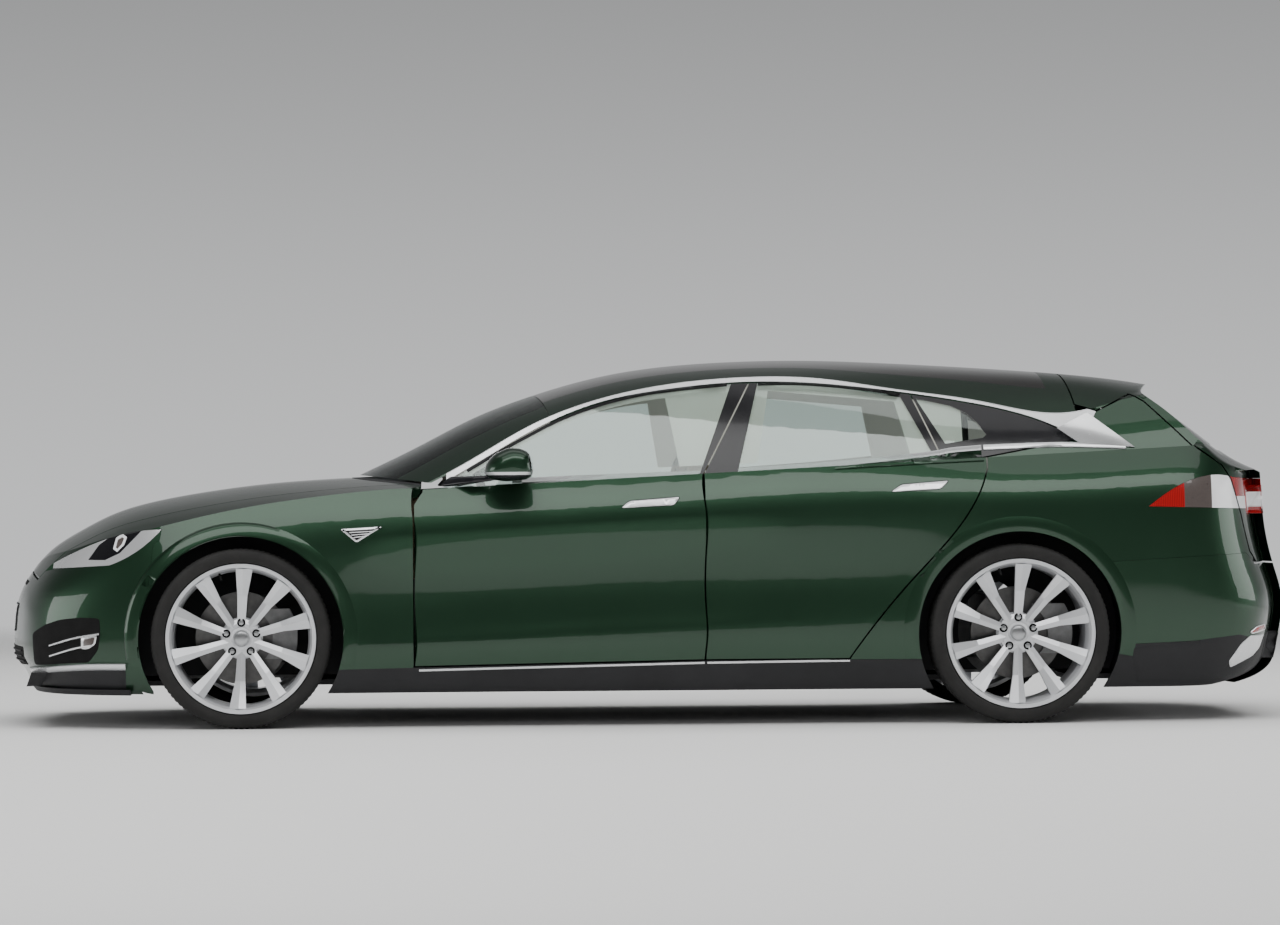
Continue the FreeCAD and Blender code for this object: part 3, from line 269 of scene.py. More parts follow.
paleLining.set(Base_Color=paleLining.mixColour(aboveSill, (0.010, 0.010, 0.010), liningTone),
               Roughness=0.8 + 0.1 * paleLining.noise(50.0),
               Normal=paleLining.bump(paleLining.noise(600.0), 0.3, 0.0004),
               Emission_Color=paleLining.mixColour(aboveSill, (0.0, 0.0, 0.0), liningTone))

bySlot = {"paint": carPaint, "satin_trim": satinTrim, "glass": windowGlass, "lamp": lampClear,
          "tail_lamp": lampRed, "black_plastic": blackPlastic, "tyre": tyreRubber, "wheel": wheelSilver,
          "iron": discIron, "steel": pressedSteel, "alloy": castAlloy, "cabin": beigeTrim,
          "cloth": seatLeather}


def dress(piece, finish):
    piece.data.materials.clear()
    piece.data.materials.append(finish.material)


for name, piece in nodes.items():
    for materialSlot in piece.material_slots:
        materialSlot.material = bySlot[slotOf[name]].material
dress(nodes["body_frame"], paleLining)
print("finishes on all nodes")

# shapes laid on the car's skin: outlines are (rearwards, up) in millimetres
mm = 0.001
sides = {"left": -1, "right": 1}
axle = {"front": -1561, "rear": 1399, "height": 342}
shell = ["body_sides", "bonnet", "cowl_panel", "diffuser", "front_bumper", "front_fenders", "front_left_door",
         "front_right_door", "headlamps", "rear_bumper", "rear_left_door", "rear_right_door", "sill_covers",
         "tail_lamps", "tailgate", "tailgate_lamps"]


def treeOf(*names):
    verts, faces = [], []
    for name in names:
        mesh = nodes[name].data
        base = len(verts)
        verts += [v.co.copy() for v in mesh.vertices]
        faces += [[base + k for k in p.vertices] for p in mesh.polygons]
    return BVHTree.FromPolygons(verts, faces)


skin = treeOf(*shell)
glassSkin = treeOf("front_left_glass", "front_right_glass", "rear_left_glass", "rear_right_glass",
                   "quarter_windows", "roof_rails", "body_sides")


# where a point falls on the skin when it is sent along way, raised by lift against that way
def drop(tree, point, way, lift=0.0):
    way = Vector(way)
    hit, normal = tree.ray_cast(Vector(point) - way * 4, way)[:2]
    if hit is None or (abs(way.y) > 0.5 and hit.y * way.y > -0.35):
        guess = Vector((point[0], -way.y * 0.8, point[2])) if abs(way.y) > 0.5 else Vector(point)
        near, normal = tree.find_nearest(guess)[:2]
        hit = guess + way * (near - guess).dot(way)
    steep = min(1.0, max(0.35, abs(normal.dot(way))))
    return hit - way * (lift / steep)


def fromSide(tree, side, x, z, lift=0.0):
    return drop(tree, (x, side, z), (0, -side, 0), lift)


def turnOutwards(mesh, weld=None):
    bm = bmesh.new()
    bm.from_mesh(mesh)
    if weld:
        bmesh.ops.remove_doubles(bm, verts=bm.verts, dist=weld)
    bmesh.ops.recalc_face_normals(bm, faces=bm.faces)
    bm.to_mesh(mesh)
    bm.free()


def smooth(mesh, sharp=None):
    mesh.polygons.foreach_set("use_smooth", [True] * len(mesh.polygons))
    if sharp:
        mesh.set_sharp_from_angle(angle=math.radians(sharp))


def newPiece(name, mesh):
    piece = bpy.data.objects.new(name, mesh)
    bpy.context.collection.objects.link(piece)
    return piece


def standFor(piece, name):
    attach(piece, bodyOf[name])
    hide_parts(name)
    return piece


def addPiece(name, verts, faces, finish, body, sharp=38, replaces=(), slotName=None):
    mesh = bpy.data.meshes.new(name)
    mesh.from_pydata([tuple(v) for v in verts], [], faces)
    mesh.validate()
    turnOutwards(mesh)
    smooth(mesh, sharp)
    piece = newPiece(name, mesh)
    dress(piece, finish)
    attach(piece, body)
    if replaces:
        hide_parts(*replaces)
    return piece


# evenly spaced points along straight runs, corners kept
def resample(points, step, closed=False):
    result = []
    ends = points[1:] + (points[:1] if closed else [])
    for a, b in zip(points, ends):
        count = max(1, int(math.dist(a, b) / step))
        result += [tuple(a[k] + (b[k] - a[k]) * i / count for k in range(len(a))) for i in range(count)]
    return result if closed else result + [points[-1]]


# a smooth curve through the points
def curved(points, step):
    padded = [points[0]] + list(points) + [points[-1]]
    result = []
    for p, q, r, s in zip(padded, padded[1:], padded[2:], padded[3:]):
        count = max(1, int(math.dist(q, r) / step))
        for i in range(count):
            t = i / count
            result.append(tuple(0.5 * (2 * q[k] + (r[k] - p[k]) * t
                                       + (2 * p[k] - 5 * q[k] + 4 * r[k] - s[k]) * t * t
                                       + (3 * q[k] - p[k] - 3 * r[k] + s[k]) * t ** 3)
                                for k in range(len(q))))
    return result + [tuple(points[-1])]


# points on a circle seen from the side, angles in degrees from the rearward direction
def arcOf(centre, radius, degrees):
    return [(centre[0] + radius * math.cos(math.radians(t)), centre[1] + radius * math.sin(math.radians(t)))
            for t in degrees]


# section of a raised strip: rows of (across, lift)
def stripSection(half, bevel, foot, shoulder, crown=None):
    middle = [] if crown is None else [(0, crown)]
    return [(-half, foot), (-half + bevel, shoulder), *middle, (half - bevel, shoulder), (half, foot)]


# a raised band along a path; upright keeps one depth across the band
def band(name, path, section, finish, body, side, tree=None, upright=False, step=25, sink=3.0, sharp=38):
    tree = tree or skin
    line = curved(path, step)
    verts = []
    for i, (atX, atZ) in enumerate(line):
        before, after = line[max(i - 1, 0)], line[min(i + 1, len(line) - 1)]
        runX, runZ = after[0] - before[0], after[1] - before[1]
        length = math.hypot(runX, runZ)
        acrossX, acrossZ = -runZ / length, runX / length
        middle = fromSide(tree, side, atX * mm, atZ * mm)
        spots = [((atX + acrossX * offset) * mm, (atZ + acrossZ * offset) * mm, lift)
                 for offset, lift in section]
        for x, z, lift in spots:
            if upright:
                verts.append(Vector((x, middle.y + side * lift * mm, z)))
            else:
                verts.append(fromSide(tree, side, x, z, lift * mm))
        for x, z, lift in (spots[-1], spots[0]):
            depth = middle if upright else fromSide(tree, side, x, z)
            verts.append(Vector((x, depth.y - side * sink * mm, z)))
    wide, last = len(section) + 2, len(line) - 1
    faces = [(i * wide + k, (i + 1) * wide + k, (i + 1) * wide + (k + 1) % wide, i * wide + (k + 1) % wide)
             for i in range(last) for k in range(wide)]
    faces += [tuple(range(wide)), tuple(last * wide + k for k in reversed(range(wide)))]
    return addPiece(name, verts, faces, finish, body, sharp)


# the closed outline drawn in by amount
def inward(points, amount):
    count = len(points)
    area = sum(points[i][0] * points[(i + 1) % count][1] - points[(i + 1) % count][0] * points[i][1]
               for i in range(count))
    shift = -amount if area > 0 else amount
    moved = []
    for i, (a, b) in enumerate(points):
        p, q = points[i - 1], points[(i + 1) % count]
        before = Vector((b - p[1], p[0] - a)).normalized()
        after = Vector((q[1] - b, a - q[0])).normalized()
        total = (before + after) / max(0.35, 1 + before.dot(after))
        moved.append((a + total.x * shift, b + total.y * shift))
    return moved


# the closed outline with its corners rounded
def rounded(points, radius, steps=4):
    result = []
    for i, corner in enumerate(points):
        corner, p, q = Vector(corner), Vector(points[i - 1]), Vector(points[(i + 1) % len(points)])
        cut = min(radius, (p - corner).length * 0.45, (q - corner).length * 0.45)
        a, b = corner + (p - corner).normalized() * cut, corner + (q - corner).normalized() * cut
        for k in range(steps + 1):
            t = k / steps
            result.append(tuple(a * (1 - t) ** 2 + corner * 2 * t * (1 - t) + b * t * t))
    return result


def within(points, x, z):
    odd = False
    for i in range(len(points)):
        (a, b), (c, d) = points[i - 1], points[i]
        if (b > z) != (d > z) and x < (c - a) * (z - b) / (d - b) + a:
            odd = not odd
    return odd


# a point of an outline sent onto the skin: from the side (y), from ahead (x) or from behind (-x)
def layOn(tree, way, side, point, height):
    u, v = point[0] * mm, point[1] * mm
    if way == "y":
        return fromSide(tree, side, u, v, height * mm)
    ahead = 1 if way == "x" else -1
    return drop(tree, (-ahead * 2.3, u, v), (ahead, 0, 0), height * mm)


# a thin plate laid on the skin, domed in its middle and sunk at its rim
def plate(name, outline, finish, body, side=1, lift=2.0, edge=1.5, sink=4.0, step=14, tree=None, way="y",
          dome=0.0):
    tree = tree or skin
    rim = resample(outline, step, closed=True)
    inner = inward(rim, edge)
    low = [min(p[k] for p in rim) for k in (0, 1)]
    high = [max(p[k] for p in rim) for k in (0, 1)]
    border = [Vector(p) for p in inner]
    count = len(border)
    columns, lines = [int((high[k] - low[k]) / step) for k in (0, 1)]
    grid = [(low[0] + (i + 0.5 * (j % 2)) * step, low[1] + j * step)
            for i in range(1, columns + 1) for j in range(1, lines + 1)]
    grid = [Vector(p) for p in grid
            if within(border, *p) and min((Vector(p) - q).length for q in border) > step * 0.45]
    loop = [(i, (i + 1) % count) for i in range(count)]
    found = delaunay_2d_cdt(border + grid, loop, [list(range(count))], 1, 1e-5)
    points, faces = found[0], [list(face) for face in found[2]]

    middle = Vector(((low[0] + high[0]) / 2, (low[1] + high[1]) / 2))
    span = max(high[0] - low[0], high[1] - low[1]) / 2
    verts = [layOn(tree, way, side, p, lift + dome * max(0.0, 1 - ((p - middle).length / span) ** 2))
             for p in points]
    lookup = {}
    for i, p in enumerate(points):
        lookup.setdefault((round(p.x, 2), round(p.y, 2)), i)
    ring = [lookup.get((round(p[0], 2), round(p[1], 2))) for p in inner]
    base = len(verts)
    verts += [layOn(tree, way, side, p, lift - edge * 0.6) for p in rim]
    verts += [layOn(tree, way, side, p, -sink) for p in rim]
    for i, j in loop:
        if ring[i] is not None and ring[j] is not None and ring[i] != ring[j]:
            faces.append([ring[i], ring[j], base + j, base + i])
        faces.append([base + i, base + j, base + count + j, base + count + i])
    faces.append([base + count + i for i in reversed(range(count))])
    return addPiece(name, verts, faces, finish, body)


# a smooth four-cornered sheet between four points on the skin, a little full and turned in at its rim
def patch(name, corners, finish, body, side, lift, tree, count=8, fullness=0.004, rimDepth=0.016):
    at = [drop(tree, (x * mm, 0, z * mm), (0, -side, 0), lift * mm) for x, z in corners]
    verts, faces = [], []
    wide = count + 1
    for i in range(wide):
        for j in range(wide):
            u, v = i / count, j / count
            point = at[0].lerp(at[1], u).lerp(at[3].lerp(at[2], u), v)
            point.y += side * fullness * math.sin(math.pi * u) * math.sin(math.pi * v)
            verts.append(point)
    for i in range(count):
        for j in range(count):
            k = i * wide + j
            faces.append((k, k + 1, k + wide + 1, k + wide))
    rim = [i * wide for i in range(count)] + [count * wide + j for j in range(count)]
    rim += [i * wide + count for i in range(count, 0, -1)] + list(range(count, 0, -1))
    base = len(verts)
    verts += [verts[k] + Vector((0, -side * rimDepth, 0)) for k in rim]
    for k in range(len(rim)):
        n = (k + 1) % len(rim)
        faces.append((rim[k], rim[n], base + n, base + k))
    return addPiece(name, verts, faces, finish, body, 40)


# a solid of revolution: rows of (along the axis, radius); closed joins the last row to the first
def turned(name, section, centre, finish, body, axis, segments=32, sharp=38, wave=None, closed=False, **more):
    axis = Vector(axis).normalized()
    first = axis.orthogonal().normalized()
    second = axis.cross(first)
    centre = Vector(centre)
    verts, faces = [], []
    count = len(section)
    for s in range(segments):
        angle = 2 * math.pi * s / segments
        out = first * math.cos(angle) + second * math.sin(angle)
        for k, (along, radius) in enumerate(section):
            extra = wave(k, s) if wave else 0
            verts.append(centre + axis * along * mm + out * (radius + extra) * mm)
    starts = [(s * count, (s + 1) % segments * count) for s in range(segments)]
    faces = [(a + k, a + k + 1, b + k + 1, b + k) for a, b in starts for k in range(count - 1)]
    if closed:
        faces += [(a + count - 1, a, b, b + count - 1) for a, b in starts]
    else:
        faces.append([a for a, b in starts])
        faces.append([a + count - 1 for a, b in reversed(starts)])
    return addPiece(name, verts, faces, finish, body, sharp, **more)


def cutAlong(bm, planePoint, planeNormal):
    bmesh.ops.bisect_plane(bm, geom=bm.verts[:] + bm.edges[:] + bm.faces[:], plane_co=planePoint,
                           plane_no=planeNormal)


def treeFrom(mesh):
    return BVHTree.FromPolygons([v.co.copy() for v in mesh.vertices],
                                [list(p.vertices) for p in mesh.polygons])


# gives mesh the shading normals that source has at the same places
def copyNormals(mesh, source):
    tree = treeFrom(source)
    known = [n.vector.copy() for n in source.corner_normals]
    normals = []
    for polygon in mesh.polygons:
        for index in polygon.loop_indices:
            at = mesh.vertices[mesh.loops[index].vertex_index].co.lerp(polygon.center, 0.02)
            face = source.polygons[tree.find_nearest(at)[2]]
            weights = interpolationWeights([source.vertices[v].co for v in face.vertices], at)
            total = Vector()
            for weight, loop in zip(weights, face.loop_indices):
                total += known[loop] * weight
            normals.append(total.normalized() if total.length > 1e-6 else face.normal)
    mesh.normals_split_custom_set(normals)


# a copy of a node cut along lines, seen from the side or in plan, each part in the finish that choose
# picks; inner is the finish of the second part's inner faces
def recolour(name, finishes, lines, choose, plan=False, inner=None):
    source = nodes[name].data
    bm = bmesh.new()
    bm.from_mesh(source)
    bmesh.ops.remove_doubles(bm, verts=bm.verts, dist=1e-6)
    for (a, b), (c, d) in lines:
        first = Vector((a * mm, b * mm, 0)) if plan else Vector((a * mm, 0, b * mm))
        along = Vector(((c - a), (d - b), 0)) if plan else Vector(((c - a), 0, (d - b)))
        normal = along.cross(Vector((0, 0, 1) if plan else (0, 1, 0)))
        cutAlong(bm, first, normal.normalized())
    for face in bm.faces:
        at = face.calc_center_median() * 1000
        face.material_index = choose(at.x, at.y, at.z)
        if inner and face.material_index == 1 and face.normal.y * at.y < 0:
            face.material_index = inner
        face.smooth = True
    mesh = bpy.data.meshes.new(name + "Look")
    bm.to_mesh(mesh)
    bm.free()
    copyNormals(mesh, source)
    piece = newPiece(name + "Look", mesh)
    for finish in finishes:
        mesh.materials.append(finish.material)
    return standFor(piece, name)


# a copy of a node whose shading follows its own facets again, sharp above an angle
def resmooth(name, angle):
    mesh = nodes[name].data.copy()
    turnOutwards(mesh, weld=2e-6)
    mesh.normals_split_custom_set([(0, 0, 0)] * len(mesh.loops))
    smooth(mesh, angle)
    return standFor(newPiece(name + "Smooth", mesh), name)


def doorOf(place, label):
    return "%s_%s_door_body" % (place, label)


# brightwork along the sides, grip handles and the vent behind the front wheel
trim = {
    "beltFront": [(-492, 934), (-152, 947), (196, 958)],
    "beltRear": [(206, 958), (725, 993), (1051, 1024), (1149, 1040), (1266, 1050)],
    "beltTail": [(1276, 1051), (1583, 1060), (1830, 1052)], "beltHalf": 10.5, "beltLift": 10,
    "sillFront": [(-888, 217), (196, 238)], "sillRear": [(206, 238), (750, 242)], "sillHalf": 4.5,
    "handleFront": [(-119, 828), (-86, 855), (106, 869), (82, 838)],
    "handleRear": [(909, 883), (950, 911), (1131, 925), (1097, 893)], "handleCorner": 11,
    "vent": [(-1184, 755), (-1023, 764), (-1122, 703)], "ventCorner": 9, "ventBars": 3,
}
beltLift = trim["beltLift"]
beltSection = stripSection(trim["beltHalf"], 2, beltLift - 3, beltLift, beltLift + 2)
beltTailSection = stripSection(trim["beltHalf"], 2, 1, 4, 5.5)
sillSection = stripSection(trim["sillHalf"], 1.5, 1.5, 3.5)
for label, side in sides.items():
    for place, key in (("front", "Front"), ("rear", "Rear")):
        body = doorOf(place, label)
        band("%sBelt%s" % (label, key), trim["belt" + key], beltSection, brightTrim, body, side,
             treeOf("%s_%s_door" % (place, label)), upright=True, sink=16)
        grip = rounded(trim["handle" + key], trim["handleCorner"])
        plate("%sHandleSeam%s" % (label, key), inward(grip, -2.2), deepBlack, body, side, lift=0.5, edge=0.6)
        plate("%sHandle%s" % (label, key), grip, brightTrim, body, side, lift=3.2, edge=3.0, dome=2.2)
    band(label + "BeltTail", trim["beltTail"], beltTailSection, brightTrim, "body", side, glassSkin, sink=6)
    for key in ("Front", "Rear"):
        band("%sSillStrip%s" % (label, key), trim["sill" + key], sillSection, brightTrim, "body", side)
    vent = rounded(trim["vent"], trim["ventCorner"])
    plate(label + "VentFrame", vent, brightTrim, "body", side, lift=3.0, edge=2.0)
    plate(label + "VentMesh", inward(vent, 7), glossBlack, "body", side, lift=3.6, edge=1.0)
    for k in range(trim["ventBars"]):
        bar = [(-1150 + k * 9, 741 - k * 9), (-1062 - k * 11, 746 - k * 9)]
        band("%sVentBar%d" % (label, k), bar, [(-1.6, 3.8), (0, 5.0), (1.6, 3.8)], brightTrim, "body", side)
print("side trims placed")

# flares pressed out round the wheel arches: section rows are (share of the width inwards, lift)
flare = {"front": {"centre": (-1561, 341), "inner": 388, "outer": 442, "from": -38, "to": 222},
         "rear": {"centre": (1399, 342), "inner": 389, "outer": 446, "from": -36, "to": 214},
         "foot": 232, "section": [(0.0, 1.0), (0.1, 4.0), (0.4, 5.0), (0.75, 3.5), (1.0, 0.0)]}
for label, side in sides.items():
    for place in ("front", "rear"):
        arch = flare[place]
        wide = arch["outer"] - arch["inner"]
        section = [((0.5 - share) * wide, lift) for share, lift in flare["section"]]
        radius = (arch["inner"] + arch["outer"]) / 2
        path = arcOf(arch["centre"], radius, range(arch["from"], arch["to"] + 1, 6))
        path = [point for point in path if point[1] > flare["foot"]]
        band("%s%sFlare" % (label, place.title()), path, section, carPaint, "body", side, step=18, sink=1.0,
             sharp=60)
print("flares placed")

# panes with their black borders, the pillars' covers and the rubber seals
pane = {
    "pillarFront": ((187, 960), (319, 1306)), "pillarRear": ((330, 960), (420, 1306)),
    "rearBar": ((960, 1262), (1072, 1040)),
    "quarterClear": [(1026, 1242), (1157, 1212), (1217, 1184), (1258, 1146), (1290, 1100), (1276, 1088),
                     (1130, 1066)],
    "sealFront": [(-700, 972), (-578, 1044), (-482, 1096), (-343, 1166), (-189, 1222), (-34, 1260),
                  (120, 1281), (300, 1298)],
    "sealRear": [(420, 1300), (560, 1301), (700, 1292), (860, 1274), (968, 1255)],
    "screenEdge": [(-1140, 640), (-960, 560), (-762, 545), (-578, 552), (-445, 560)],
    "roofHalf": 470, "roofEnd": 1560, "lampRed": 2036, "lampSmoke": 2145, "gateLampSplit": 858,
}


# whether a place lies rearward of a line
def past(line, x, z):
    (a, b), (c, d) = line
    return x > a + (z - b) * (c - a) / (d - b)


def closedLines(points):
    return [(points[i - 1], points[i]) for i in range(len(points))]


# half of the windscreen's clear width at x
def screenHalf(x):
    line = pane["screenEdge"]
    for (a, b), (c, d) in zip(line, line[1:]):
        if x <= c:
            return b + (d - b) * (x - a) / (c - a)
    return line[-1][1]


framed = (windowGlass, glossBlack, paleLining)
sealSection = stripSection(6, 3, 0.4, 1.6)
for label, side in sides.items():
    recolour("front_%s_glass" % label, framed, [pane["pillarFront"]],
             lambda x, y, z: int(past(pane["pillarFront"], x, z)), inner=2)
    recolour("rear_%s_glass" % label, framed, [pane["pillarRear"], pane["rearBar"]],
             lambda x, y, z: int(not past(pane["pillarRear"], x, z) or past(pane["rearBar"], x, z)), inner=2)
    for place, key in (("front", "Front"), ("rear", "Rear")):
        band("%sSeal%s" % (label, key), pane["seal" + key], sealSection, blackPlastic, doorOf(place, label),
             side, treeOf("%s_%s_glass" % (place, label)), sink=1)
recolour("quarter_windows", framed, closedLines(pane["quarterClear"]),
         lambda x, y, z: int(not within(pane["quarterClear"], x, z)), inner=2)
screenCuts = [((a, hand * b), (c, hand * d)) for hand in (1, -1)
              for (a, b), (c, d) in zip(pane["screenEdge"], pane["screenEdge"][1:])]
recolour("windscreen", (windowGlass, carPaint), screenCuts,
         lambda x, y, z: int(abs(y) > screenHalf(x)), plan=True)
roofHalf, roofEnd = pane["roofHalf"], pane["roofEnd"]
roofCuts = [((0, roofHalf), (100, roofHalf)), ((0, -roofHalf), (100, -roofHalf)),
            ((roofEnd, 0), (roofEnd, 100))]
recolour("roof_panel", (carPaint, tintedRoof), roofCuts,
         lambda x, y, z: int(abs(y) < roofHalf and x < roofEnd), plan=True)
recolour("tail_lamps", (lampRed, smokeLens, lampWhite),
         [((pane[key], 0), (pane[key], 100)) for key in ("lampRed", "lampSmoke")],
         lambda x, y, z: 0 if x < pane["lampRed"] else 1 if x < pane["lampSmoke"] else 2)
recolour("tailgate_lamps", (lampWhite, lampRed), [((0, pane["gateLampSplit"]), (100, pane["gateLampSplit"]))],
         lambda x, y, z: int(z > pane["gateLampSplit"]))

# door mirrors: a full, rounded head with a bright strip on a black arm
mirror = {"outline": [(-641, 962), (-632, 1000), (-600, 1036), (-545, 1060), (-500, 1056), (-470, 1042),
                      (-456, 1010), (-452, 975), (-458, 950), (-480, 938), (-556, 931), (-615, 940)],
          "corner": 18, "step": 9, "rings": 24, "centre": (-545, 990), "middle": 985, "halfWide": 106,
          "swept": 14, "strip": (956, 967), "glassFrom": -478,
          "armFoot": [(-812, 912), (-772, 952), (-700, 953), (-690, 926), (-740, 912)],
          "armTip": [(-690, 928), (-672, 952), (-600, 956), (-590, 936), (-640, 930)], "armY": (846, 940)}


def mirrorHead(label, side):
    outline = resample(rounded(mirror["outline"], mirror["corner"]), mirror["step"], closed=True)
    centreX, centreZ = mirror["centre"]
    count, rings = len(outline), mirror["rings"]
    verts = []
    for j in range(rings + 1):
        turn = -math.pi / 2 + math.pi * j / rings
        across = math.copysign(abs(math.sin(turn)) ** 0.8, math.sin(turn))
        scale = max(0.02, math.cos(turn) ** 0.62)
        for x, z in outline:
            verts.append(Vector(((centreX + (x - centreX) * scale + mirror["swept"] * across * across) * mm,
                                 side * (mirror["middle"] + mirror["halfWide"] * across) * mm,
                                 (centreZ + (z - centreZ) * scale) * mm)))
    ring = [(k, (k + 1) % count) for k in range(count)]
    faces = [(j * count + k, j * count + n, (j + 1) * count + n, (j + 1) * count + k)
             for j in range(rings) for k, n in ring]
    faces += [tuple(range(count)), tuple(range(rings * count, (rings + 1) * count))]
    node = label + "_mirror"
    head = addPiece(label + "MirrorHead", verts, faces, carPaint, bodyOf[node], 60, replaces=(node,),
                    slotName=slotOf[node])
    low, high = mirror["strip"]
    bm = bmesh.new()
    bm.from_mesh(head.data)
    for z in (low, high):
        cutAlong(bm, (0, 0, z * mm), (0, 0, 1))
    for face in bm.faces:
        at = face.calc_center_median() * 1000
        face.material_index = 0 if at.z > high else 1 if at.z > low else 2
        if at.x > mirror["glassFrom"] and face.normal.x > 0.8:
            face.material_index = 3
    bm.to_mesh(head.data)
    bm.free()
    for finish in (brightTrim, glossBlack, mirrorGlass):
        head.data.materials.append(finish.material)


def mirrorArm(label, side):
    verts = []
    for y, outline in zip(mirror["armY"], (mirror["armFoot"], mirror["armTip"])):
        verts += [Vector((x * mm, side * y * mm, z * mm)) for x, z in outline]
    faces = [(0, 1, 2, 3, 4), (9, 8, 7, 6, 5)] + [(k, (k + 1) % 5, 5 + (k + 1) % 5, 5 + k) for k in range(5)]
    arm = addPiece(label + "MirrorArm", verts, faces, glossBlack, bodyOf[label + "_mirror"], 60)
    bevel = arm.modifiers.new("soft", "BEVEL")
    bevel.width, bevel.segments = 0.008, 3


for label, side in sides.items():
    mirrorHead(label, side)
    mirrorArm(label, side)

# headlamps: a bright shell with a dark wedge and a C of light round a smoked middle
lamp = {"wedge": [(-2145, 642), (-2104, 699), (-2040, 744), (-1930, 760), (-2019, 669), (-2077, 642)],
        "light": [(-2047, 684), (-2036, 726), (-2012, 742), (-1993, 729), (-2004, 699), (-2031, 673)],
        "inner": [(-2036, 690), (-2029, 719), (-2012, 729), (-2004, 724), (-2013, 702), (-2030, 684)]}
recolour("headlamps", (lampChrome, glossBlack, lampWhite, smokeLens),
         closedLines(lamp["wedge"]) + closedLines(lamp["light"]) + closedLines(lamp["inner"]),
         lambda x, y, z: 3 if within(lamp["inner"], x, z) else 2 if within(lamp["light"], x, z)
         else 1 if within(lamp["wedge"], x, z) else 0)

# the rear door's upswept shoulder and the flat end of the bright blade behind it
filler = {"kickUp": [(700, 980), (1051, 1015), (1149, 1031), (1266, 1041), (1270, 1000), (1051, 990),
                     (700, 970)],
          "facet": [(1683, 1184), (1866, 1050), (1650, 1066), (1563, 1124)]}
for label, side in sides.items():
    rearDoor = treeOf("rear_%s_door" % label, "rear_%s_glass" % label)
    plate(label + "KickUp", filler["kickUp"], carPaint, doorOf("rear", label), side, lift=4.0, edge=1.0,
          sink=6.0, tree=rearDoor)
    patch(label + "BladeFacet", filler["facet"], satinTrim, "body", side, 6.0, skin)
for name in ("tailgate", "rear_bumper"):
    dress(resmooth(name, 32), carPaint)

# brake discs, dark behind the silver wheels
disc = {"front": 815, "rear": 834, "radius": 200}
for label, side in sides.items():
    for place in ("front", "rear"):
        recolour("%s_%s_wheel" % (place, label), (wheelSilver, discIron), [],
                 lambda x, y, z, outer=disc[place], at=axle[place]: int(
                     abs(y) < outer and math.hypot(x - at, z - axle["height"]) < disc["radius"]))

# black walls that close the front wheel houses, notched over the arms of the axle
house = {"radius": 424, "from": 10, "to": 170, "depth": (486, 492), "foot": 416, "notchHalf": 90,
         "notchTop": 500}
for label, side in sides.items():
    wall = arcOf((axle["front"], axle["height"]), house["radius"], range(house["from"], house["to"] + 1, 5))
    before, after = axle["front"] - house["notchHalf"], axle["front"] + house["notchHalf"]
    low, high = house["foot"], house["notchTop"]
    wall += [(before, low), (before, high), (after, high), (after, low)]
    verts = [Vector((x * mm, side * y * mm, z * mm)) for y in house["depth"] for x, z in wall]
    count = len(wall)
    faces = [tuple(range(count)), tuple(range(2 * count - 1, count - 1, -1))]
    faces += [(k, count + k, count + (k + 1) % count, (k + 1) % count) for k in range(count)]
    addPiece(label + "WheelHouseWall", verts, faces, blackPlastic, "body")
print("panes framed")

# nose: side intakes with their fins and fog lamps, the lip, and grille, slot and blank plate seen from ahead
nose = {
    "intake": [(-2366, 362), (-2313, 396), (-2252, 416), (-2173, 425), (-2097, 422), (-2094, 363),
               (-2104, 300), (-2140, 254), (-2254, 247), (-2360, 238)],
    "underLip": [(-2385, 208), (-2254, 224), (-1998, 232), (-1998, 150), (-2300, 146), (-2385, 160)],
    "ledge": [(-2385, 212), (-2330, 219), (-2254, 228), (-2135, 236), (-1998, 238)],
    "ledgeSection": [(-13, 1), (-10, 9), (0, 17), (9, 17), (12, 10), (13, 2)],
    "FinHigh": [(-2296, 316), (-2236, 335), (-2181, 349), (-2099, 362)],
    "FinLow": [(-2296, 276), (-2236, 295), (-2185, 309), (-2130, 319)],
    "fogRim": [(-2169, 350), (-2107, 360), (-2113, 324), (-2140, 306), (-2169, 304)],
    "fogLens": [(-2160, 342), (-2115, 350), (-2120, 326), (-2142, 313), (-2160, 312)],
    "lowerGrille": [(-520, 306), (0, 310), (520, 306), (500, 236), (0, 226), (-500, 236)],
    "slats": (250, 270, 290), "slatHalf": 480, "slatStep": 40,
    "noseSlot": [(-330, 556), (0, 566), (330, 556), (300, 540), (0, 548), (-300, 540)],
    "carrier": [(-262, 470), (262, 470), (262, 360), (-262, 360)],
    "plate": [(-255, 465), (255, 465), (255, 365), (-255, 365)],
}
finSection = stripSection(4.5, 2.5, 2, 9)
for label, side in sides.items():
    plate(label + "Intake", rounded(nose["intake"], 14), deepBlack, "body", side, lift=1.2, edge=1.2)
    plate(label + "UnderLip", nose["underLip"], blackPlastic, "body", side, lift=1.0, edge=1.0, step=20)
    # painted reflection: the ledge is satin silver, but the real lip is body paint that mirrors the sky; only
    # its upward-facing top is real shape
    band(label + "SplitterLedge", nose["ledge"], nose["ledgeSection"], satinTrim, "body", side, step=16)
    for key in ("FinHigh", "FinLow"):
        band(label + key, nose[key], finSection, brightTrim, "body", side)
    plate(label + "FogRim", rounded(nose["fogRim"], 10), lampChrome, "body", side, lift=4.0, edge=3.0)
    plate(label + "FogLens", rounded(nose["fogLens"], 8), smokeLens, "body", side, lift=6.0, edge=2.0,
          dome=3.0)


